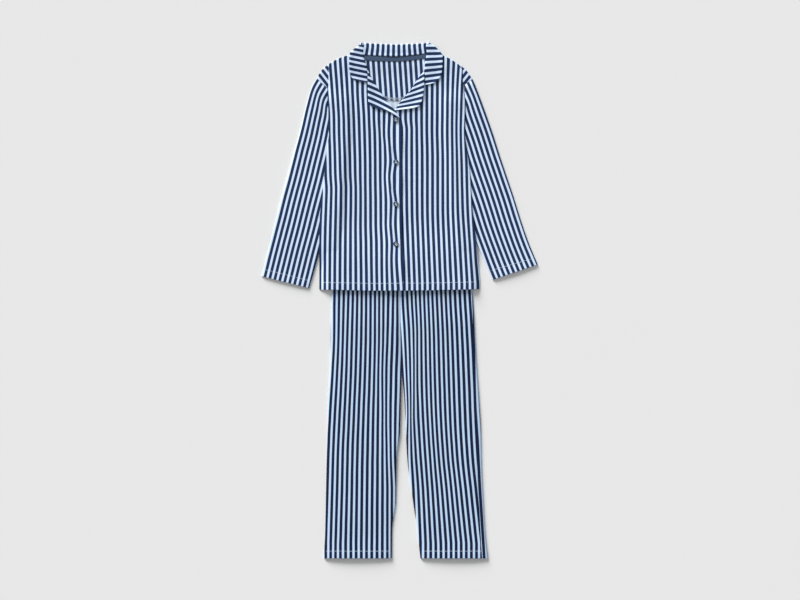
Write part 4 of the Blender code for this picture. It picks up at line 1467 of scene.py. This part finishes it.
def facing_overlock():
    """Slanting stitches in a band along the half-moon's edge, and a chain inside them."""
    xs = np.linspace(-58.0, 37.0, 60)
    edge = np.where(xs < -10.5, line_y(FACING_EDGE, xs), line_y(FACING_EDGE_LEFT, xs))
    band, chain = (points_on(xs, edge + inward, lambda x, y: base(x, y) + ON_FACING + CLOTH / 2)
                   for inward in (2.2, 5.0))
    return stitch_line(band, 1.1, 4.6, 0.75, slant=78) + stitch_line(chain, 1.9, 1.8, 0.7)


def tape_seams():
    """The seams along both edges of the tape."""
    xs = np.linspace(-74.0, 56.0, 50)
    seams = []
    for line, inward in ((TAPE_TOP, -1.5), (TAPE_BOTTOM, 1.5)):
        places = points_on(xs, line_y(line, xs) + inward,
                           lambda x, y: base(x, y) + ON_FACING + SEAM + FACING_WALL + CLOTH / 2)
        seams += stitch_line(places, 2.8, 2.2, 0.5)
    return seams


def front_tack():
    """Bar tack that closes the front edge at the hem, in a zigzag."""
    tack = []
    for step in range(9):
        y = 26.5 + step * 2.2
        z = float(lapped_mid(np.array([7.5]), np.array([y]))[0]) + CLOTH / 2 + 0.1
        zigzag = np.array((0.82, 0.57 * (-1) ** step, 0.0))
        tack.append((np.array((8.2, y, z)), zigzag, 5.0, 0.7))
    return tack


def make_all_stitches():
    """Every piece of stitching, each with the slot of the cloth that it is on."""
    hems = (
        ("hem_stitches_right", "top_stripe", top_hem_line(-182.0, 10.0, lapped_mid)),
        ("hem_stitches_left", "top_stripe", top_hem_line(17.0, 182.0, front_mid)),
        ("cuff_stitches_right", "top_stripe", cuff_line(SLEEVE_RIGHT)),
        ("cuff_stitches_left", "top_stripe", cuff_line(SLEEVE_LEFT)),
        ("leg_hem_stitches_right", "trouser_stripe", leg_hem_line(LEGS["right"])),
        ("leg_hem_stitches_left", "trouser_stripe", leg_hem_line(LEGS["left"])),
    )
    others = (
        ("facing_overlock", "collar_stripe", "overlock thread", facing_overlock()),
        ("tape_stitches", "tape", "navy thread", tape_seams()),
        ("front_edge_tack", "top_stripe", "thread", front_tack()),
    )
    spacing, length, thick = 3.4, 2.5, 1.0
    made = [(make_stitches(name, stitch_line(line, spacing, length, thick), finish_for("thread")),
             slot) for name, slot, line in hems]
    return made + [(make_stitches(name, stitches, finish_for(kind)), slot)
                   for name, slot, kind, stitches in others]


def make_stage():
    """A wide pale floor, a soft key light from the upper left, a fill and the camera."""
    stage = bpy.context.scene.pyjama_stage
    deselect()
    bpy.ops.mesh.primitive_plane_add(size=stage.floor_width)
    floor = bpy.context.object
    floor.name = "floor"
    floor.data.materials.append(plain_paper("floor_paper", colour(stage.floor_colour)))
    world = bpy.data.worlds.new("studio")
    world.use_nodes = True
    background = world.node_tree.nodes["Background"]
    background.inputs["Color"].default_value = colour(stage.floor_colour)
    background.inputs["Strength"].default_value = stage.fill_strength
    bpy.context.scene.world = world
    key = bpy.data.lights.new("key", 'SUN')
    key.energy = stage.key_strength
    key.angle = stage.key_softness
    lamp = bpy.data.objects.new("key", key)
    toward = Vector((math.cos(stage.key_height) * math.cos(stage.key_direction),
                     math.cos(stage.key_height) * math.sin(stage.key_direction),
                     math.sin(stage.key_height)))
    lamp.location = toward * 4
    lamp.rotation_euler = toward.to_track_quat('Z', 'Y').to_euler()
    bpy.context.scene.collection.objects.link(lamp)
    camera = bpy.data.cameras.new("camera")
    camera.lens, camera.sensor_width = 100.0, 36.0
    camera.clip_start, camera.clip_end = 0.1, 100.0
    eye = bpy.data.objects.new("camera", camera)
    eye.location = (*VIEW_CENTRE, stage.camera_height)
    bpy.context.scene.collection.objects.link(eye)
    bpy.context.scene.camera = eye
    bpy.context.scene.view_settings.view_transform = 'Standard'


def colour_setting(name, about, values):
    """A colour that can be changed in the panel."""
    return FloatVectorProperty(name=name, description=about, subtype='COLOR', size=3, min=0.0,
                               max=1.0, default=values)


class PyjamaCloth(bpy.types.PropertyGroup):
    """Sizes and colours of the striped jersey."""

    stripe_period: FloatProperty(
        name="Stripe Repeat", description="Width of one navy and one pale stripe together",
        default=0.0121, min=0.002, subtype='DISTANCE', unit='LENGTH')
    navy_share: FloatProperty(
        name="Navy Share", description="Part of the repeat that is navy",
        default=0.575, min=0.1, max=0.9, subtype='FACTOR')
    wale_width: FloatProperty(
        name="Wale Width", description="Width of one rib of the jersey",
        default=0.0009, min=0.0002, subtype='DISTANCE', unit='LENGTH')
    top_navy: colour_setting("Top Navy", "Navy of the top's stripes", (0.010, 0.024, 0.078))
    top_pale: colour_setting("Top Pale", "Pale blue of the top's stripes", (0.655, 0.80, 1.0))
    trouser_navy: colour_setting("Trouser Navy", "Navy of the trousers", (0.0025, 0.010, 0.042))
    trouser_pale: colour_setting("Trouser Pale", "Pale blue of the trousers", (0.545, 0.70, 0.91))
    facing_navy: colour_setting("Facing Navy", "Navy of the half-moon", (0.014, 0.030, 0.092))
    facing_pale: colour_setting("Facing Pale", "Pale blue of the half-moon", (0.68, 0.82, 1.0))
    wrong_side: colour_setting("Wrong Side", "The cloth's unprinted side", (0.70, 0.79, 0.90))


class PyjamaTrims(bpy.types.PropertyGroup):
    """Sizes and colours of buttons, thread and tape."""

    button_width: FloatProperty(
        name="Button Width", description="Diameter of a button",
        default=0.012, min=0.005, subtype='DISTANCE', unit='LENGTH')
    button_height: FloatProperty(
        name="Button Height", description="Height of a button at its rim",
        default=0.0026, min=0.001, subtype='DISTANCE', unit='LENGTH')
    button_gloss: FloatProperty(
        name="Button Gloss", description="Strength of the buttons' polish",
        default=0.5, min=0.0, max=1.0, subtype='FACTOR')
    button_colour: colour_setting("Button Colour", "Navy of the buttons", (0.035, 0.058, 0.105))
    tape_navy: colour_setting("Tape Navy", "Dark slate of the neck tape", (0.036, 0.062, 0.112))
    thread_pale: colour_setting("Pale Thread", "Thread of hems and buttons", (0.74, 0.84, 0.95))
    thread_grey: colour_setting("Overlock Thread", "Thread of the half-moon's edge", (0.40, 0.47, 0.58))
    thread_navy: colour_setting("Navy Thread", "Thread of the tape", (0.06, 0.10, 0.17))


class PyjamaStage(bpy.types.PropertyGroup):
    """Floor, light and camera."""

    floor_width: FloatProperty(
        name="Floor Width", description="Side of the square floor", default=40.0, min=2.0,
        subtype='DISTANCE', unit='LENGTH')
    floor_colour: colour_setting("Floor Colour", "Pale grey of the floor", (0.80, 0.80, 0.80))
    fill_strength: FloatProperty(
        name="Fill Strength", description="Strength of the even light from all round",
        default=0.54, min=0.0)
    key_strength: FloatProperty(
        name="Key Strength", description="Strength of the soft light", default=5.3, min=0.0)
    key_softness: FloatProperty(
        name="Key Softness", description="Angle that the soft light fills",
        default=math.radians(26), min=0.0, max=3.14, subtype='ANGLE', unit='ROTATION')
    key_height: FloatProperty(
        name="Key Height", description="Angle of the soft light above the floor",
        default=math.radians(20), min=0.1, max=1.57, subtype='ANGLE', unit='ROTATION')
    key_direction: FloatProperty(
        name="Key Direction", description="Side from which the soft light comes",
        default=math.radians(121), subtype='ANGLE', unit='ROTATION')
    camera_height: FloatProperty(
        name="Camera Height", description="From the surface to the camera", default=5.18, min=1.0,
        subtype='DISTANCE', unit='LENGTH')


class PYJAMA_OT_trousers(bpy.types.Operator):
    """Lay out the trousers: backs, fronts and waistband"""

    bl_idname = "pyjama.trousers"
    bl_label = "Trousers"

    def execute(self, context):
        for side, leg in LEGS.items():
            laid(make_leg_back(f"leg_back_{side}_cloth", leg), f"leg_back_{side}")
        for side, leg in LEGS.items():
            laid(make_leg_front(f"leg_front_{side}_cloth", leg), f"leg_front_{side}")
        laid(make_waistband(), "waistband")
        return {'FINISHED'}


class PYJAMA_OT_sleeves(bpy.types.Operator):
    """Lay out the two sleeves"""

    bl_idname = "pyjama.sleeves"
    bl_label = "Sleeves"

    def execute(self, context):
        for node, rings, side, folds, stripes in (
                ("sleeve_right", SLEEVE_RIGHT, -1, SLEEVE_RIGHT_FOLDS, SLEEVE_RIGHT_STRIPES),
                ("sleeve_left", SLEEVE_LEFT, 1, SLEEVE_LEFT_FOLDS, SLEEVE_LEFT_STRIPES)):
            laid(make_sleeve(node + "_cloth", rings, side, folds, stripes), node)
        return {'FINISHED'}


class PYJAMA_OT_body(bpy.types.Operator):
    """Lay the top's back and its two fronts over the trousers' waist"""

    bl_idname = "pyjama.body"
    bl_label = "Back and Fronts"

    def execute(self, context):
        back = laid(make_back(), "back")
        laid(make_front_left(), "front_left")
        laid(make_front_right(), "front_right")
        return {'FINISHED'}


class PYJAMA_OT_neck(bpy.types.Operator):
    """Make the half-moon and the tape inside the neck"""

    bl_idname = "pyjama.neck"
    bl_label = "Half-Moon and Tape"

    def execute(self, context):
        facing = laid(make_facing(), "back_neck_facing")
        laid(make_tape(), "neck_tape")
        return {'FINISHED'}


class PYJAMA_OT_collar(bpy.types.Operator):
    """Make the collar and turn back the two lapels"""

    bl_idname = "pyjama.collar"
    bl_label = "Collar and Lapels"

    def execute(self, context):
        right = make_lapel("lapel_right_cloth", -1, 422.6, 538.4, LAPEL_RIGHT_EDGE, ROLL_RIGHT,
                           lapped_mid, lapel_right_count)
        laid(right, "lapel_right")
        left = make_lapel("lapel_left_cloth", 1, 442.0, 534.8, LAPEL_LEFT_EDGE, ROLL_LEFT,
                          front_mid, lapel_left_count)
        laid(left, "lapel_left")
        laid(make_collar(), "collar")
        return {'FINISHED'}


class PYJAMA_OT_buttons(bpy.types.Operator):
    """Sew on the four buttons"""

    bl_idname = "pyjama.buttons"
    bl_label = "Buttons"

    def execute(self, context):
        for number, y in enumerate(BUTTON_YS, start=1):
            button = make_button(f"button_{number}_turned", y)
            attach(button, BODY)
            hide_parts(f"button_{number}")
            strands = make_stitches(f"button_{number}_thread", button_thread(y),
                                    finish_for("thread"))
            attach(strands, BODY)
        return {'FINISHED'}


class PYJAMA_OT_stitches(bpy.types.Operator):
    """Stitch hems, cuffs, facing, tape and the front edge's tack"""

    bl_idname = "pyjama.stitches"
    bl_label = "Stitches"

    def execute(self, context):
        for piece, slot in make_all_stitches():
            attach(piece, BODY)
        return {'FINISHED'}


class PYJAMA_OT_stage(bpy.types.Operator):
    """Set the floor, the lights and the camera"""

    bl_idname = "pyjama.stage"
    bl_label = "Stage"

    def execute(self, context):
        make_stage()
        return {'FINISHED'}


STEPS = (PYJAMA_OT_trousers, PYJAMA_OT_sleeves, PYJAMA_OT_body, PYJAMA_OT_neck, PYJAMA_OT_collar,
         PYJAMA_OT_buttons, PYJAMA_OT_stitches, PYJAMA_OT_stage)


class PYJAMA_PT_panel(bpy.types.Panel):
    """Lists the set's pieces and sizes"""

    bl_label = "Pyjama Set"
    bl_idname = "PYJAMA_PT_panel"
    bl_space_type = 'VIEW_3D'
    bl_region_type = 'UI'
    bl_category = "Pyjama Set"

    def draw(self, context):
        for group in (context.scene.pyjama_cloth, context.scene.pyjama_trims,
                      context.scene.pyjama_stage):
            box = self.layout.box()
            for name in group.__annotations__:
                box.prop(group, name)
        for step in STEPS:
            self.layout.operator(step.bl_idname)


GROUPS = (("pyjama_cloth", PyjamaCloth), ("pyjama_trims", PyjamaTrims),
          ("pyjama_stage", PyjamaStage))


def register():
    """Register the settings, the steps and the panel."""
    for name, group in GROUPS:
        bpy.utils.register_class(group)
        setattr(bpy.types.Scene, name, PointerProperty(type=group))
    for step in STEPS:
        bpy.utils.register_class(step)
    bpy.utils.register_class(PYJAMA_PT_panel)


def unregister():
    """Take back what register did, last first."""
    bpy.utils.unregister_class(PYJAMA_PT_panel)
    for step in reversed(STEPS):
        bpy.utils.unregister_class(step)
    for name, group in reversed(GROUPS):
        delattr(bpy.types.Scene, name)
        bpy.utils.unregister_class(group)


def main():
    """Make the whole set, piece by piece."""
    register()
    bpy.ops.pyjama.trousers()
    bpy.ops.pyjama.sleeves()
    bpy.ops.pyjama.body()
    bpy.ops.pyjama.neck()
    bpy.ops.pyjama.collar()
    bpy.ops.pyjama.buttons()
    bpy.ops.pyjama.stitches()
    bpy.ops.pyjama.stage()


if __name__ == "__main__":
    main()
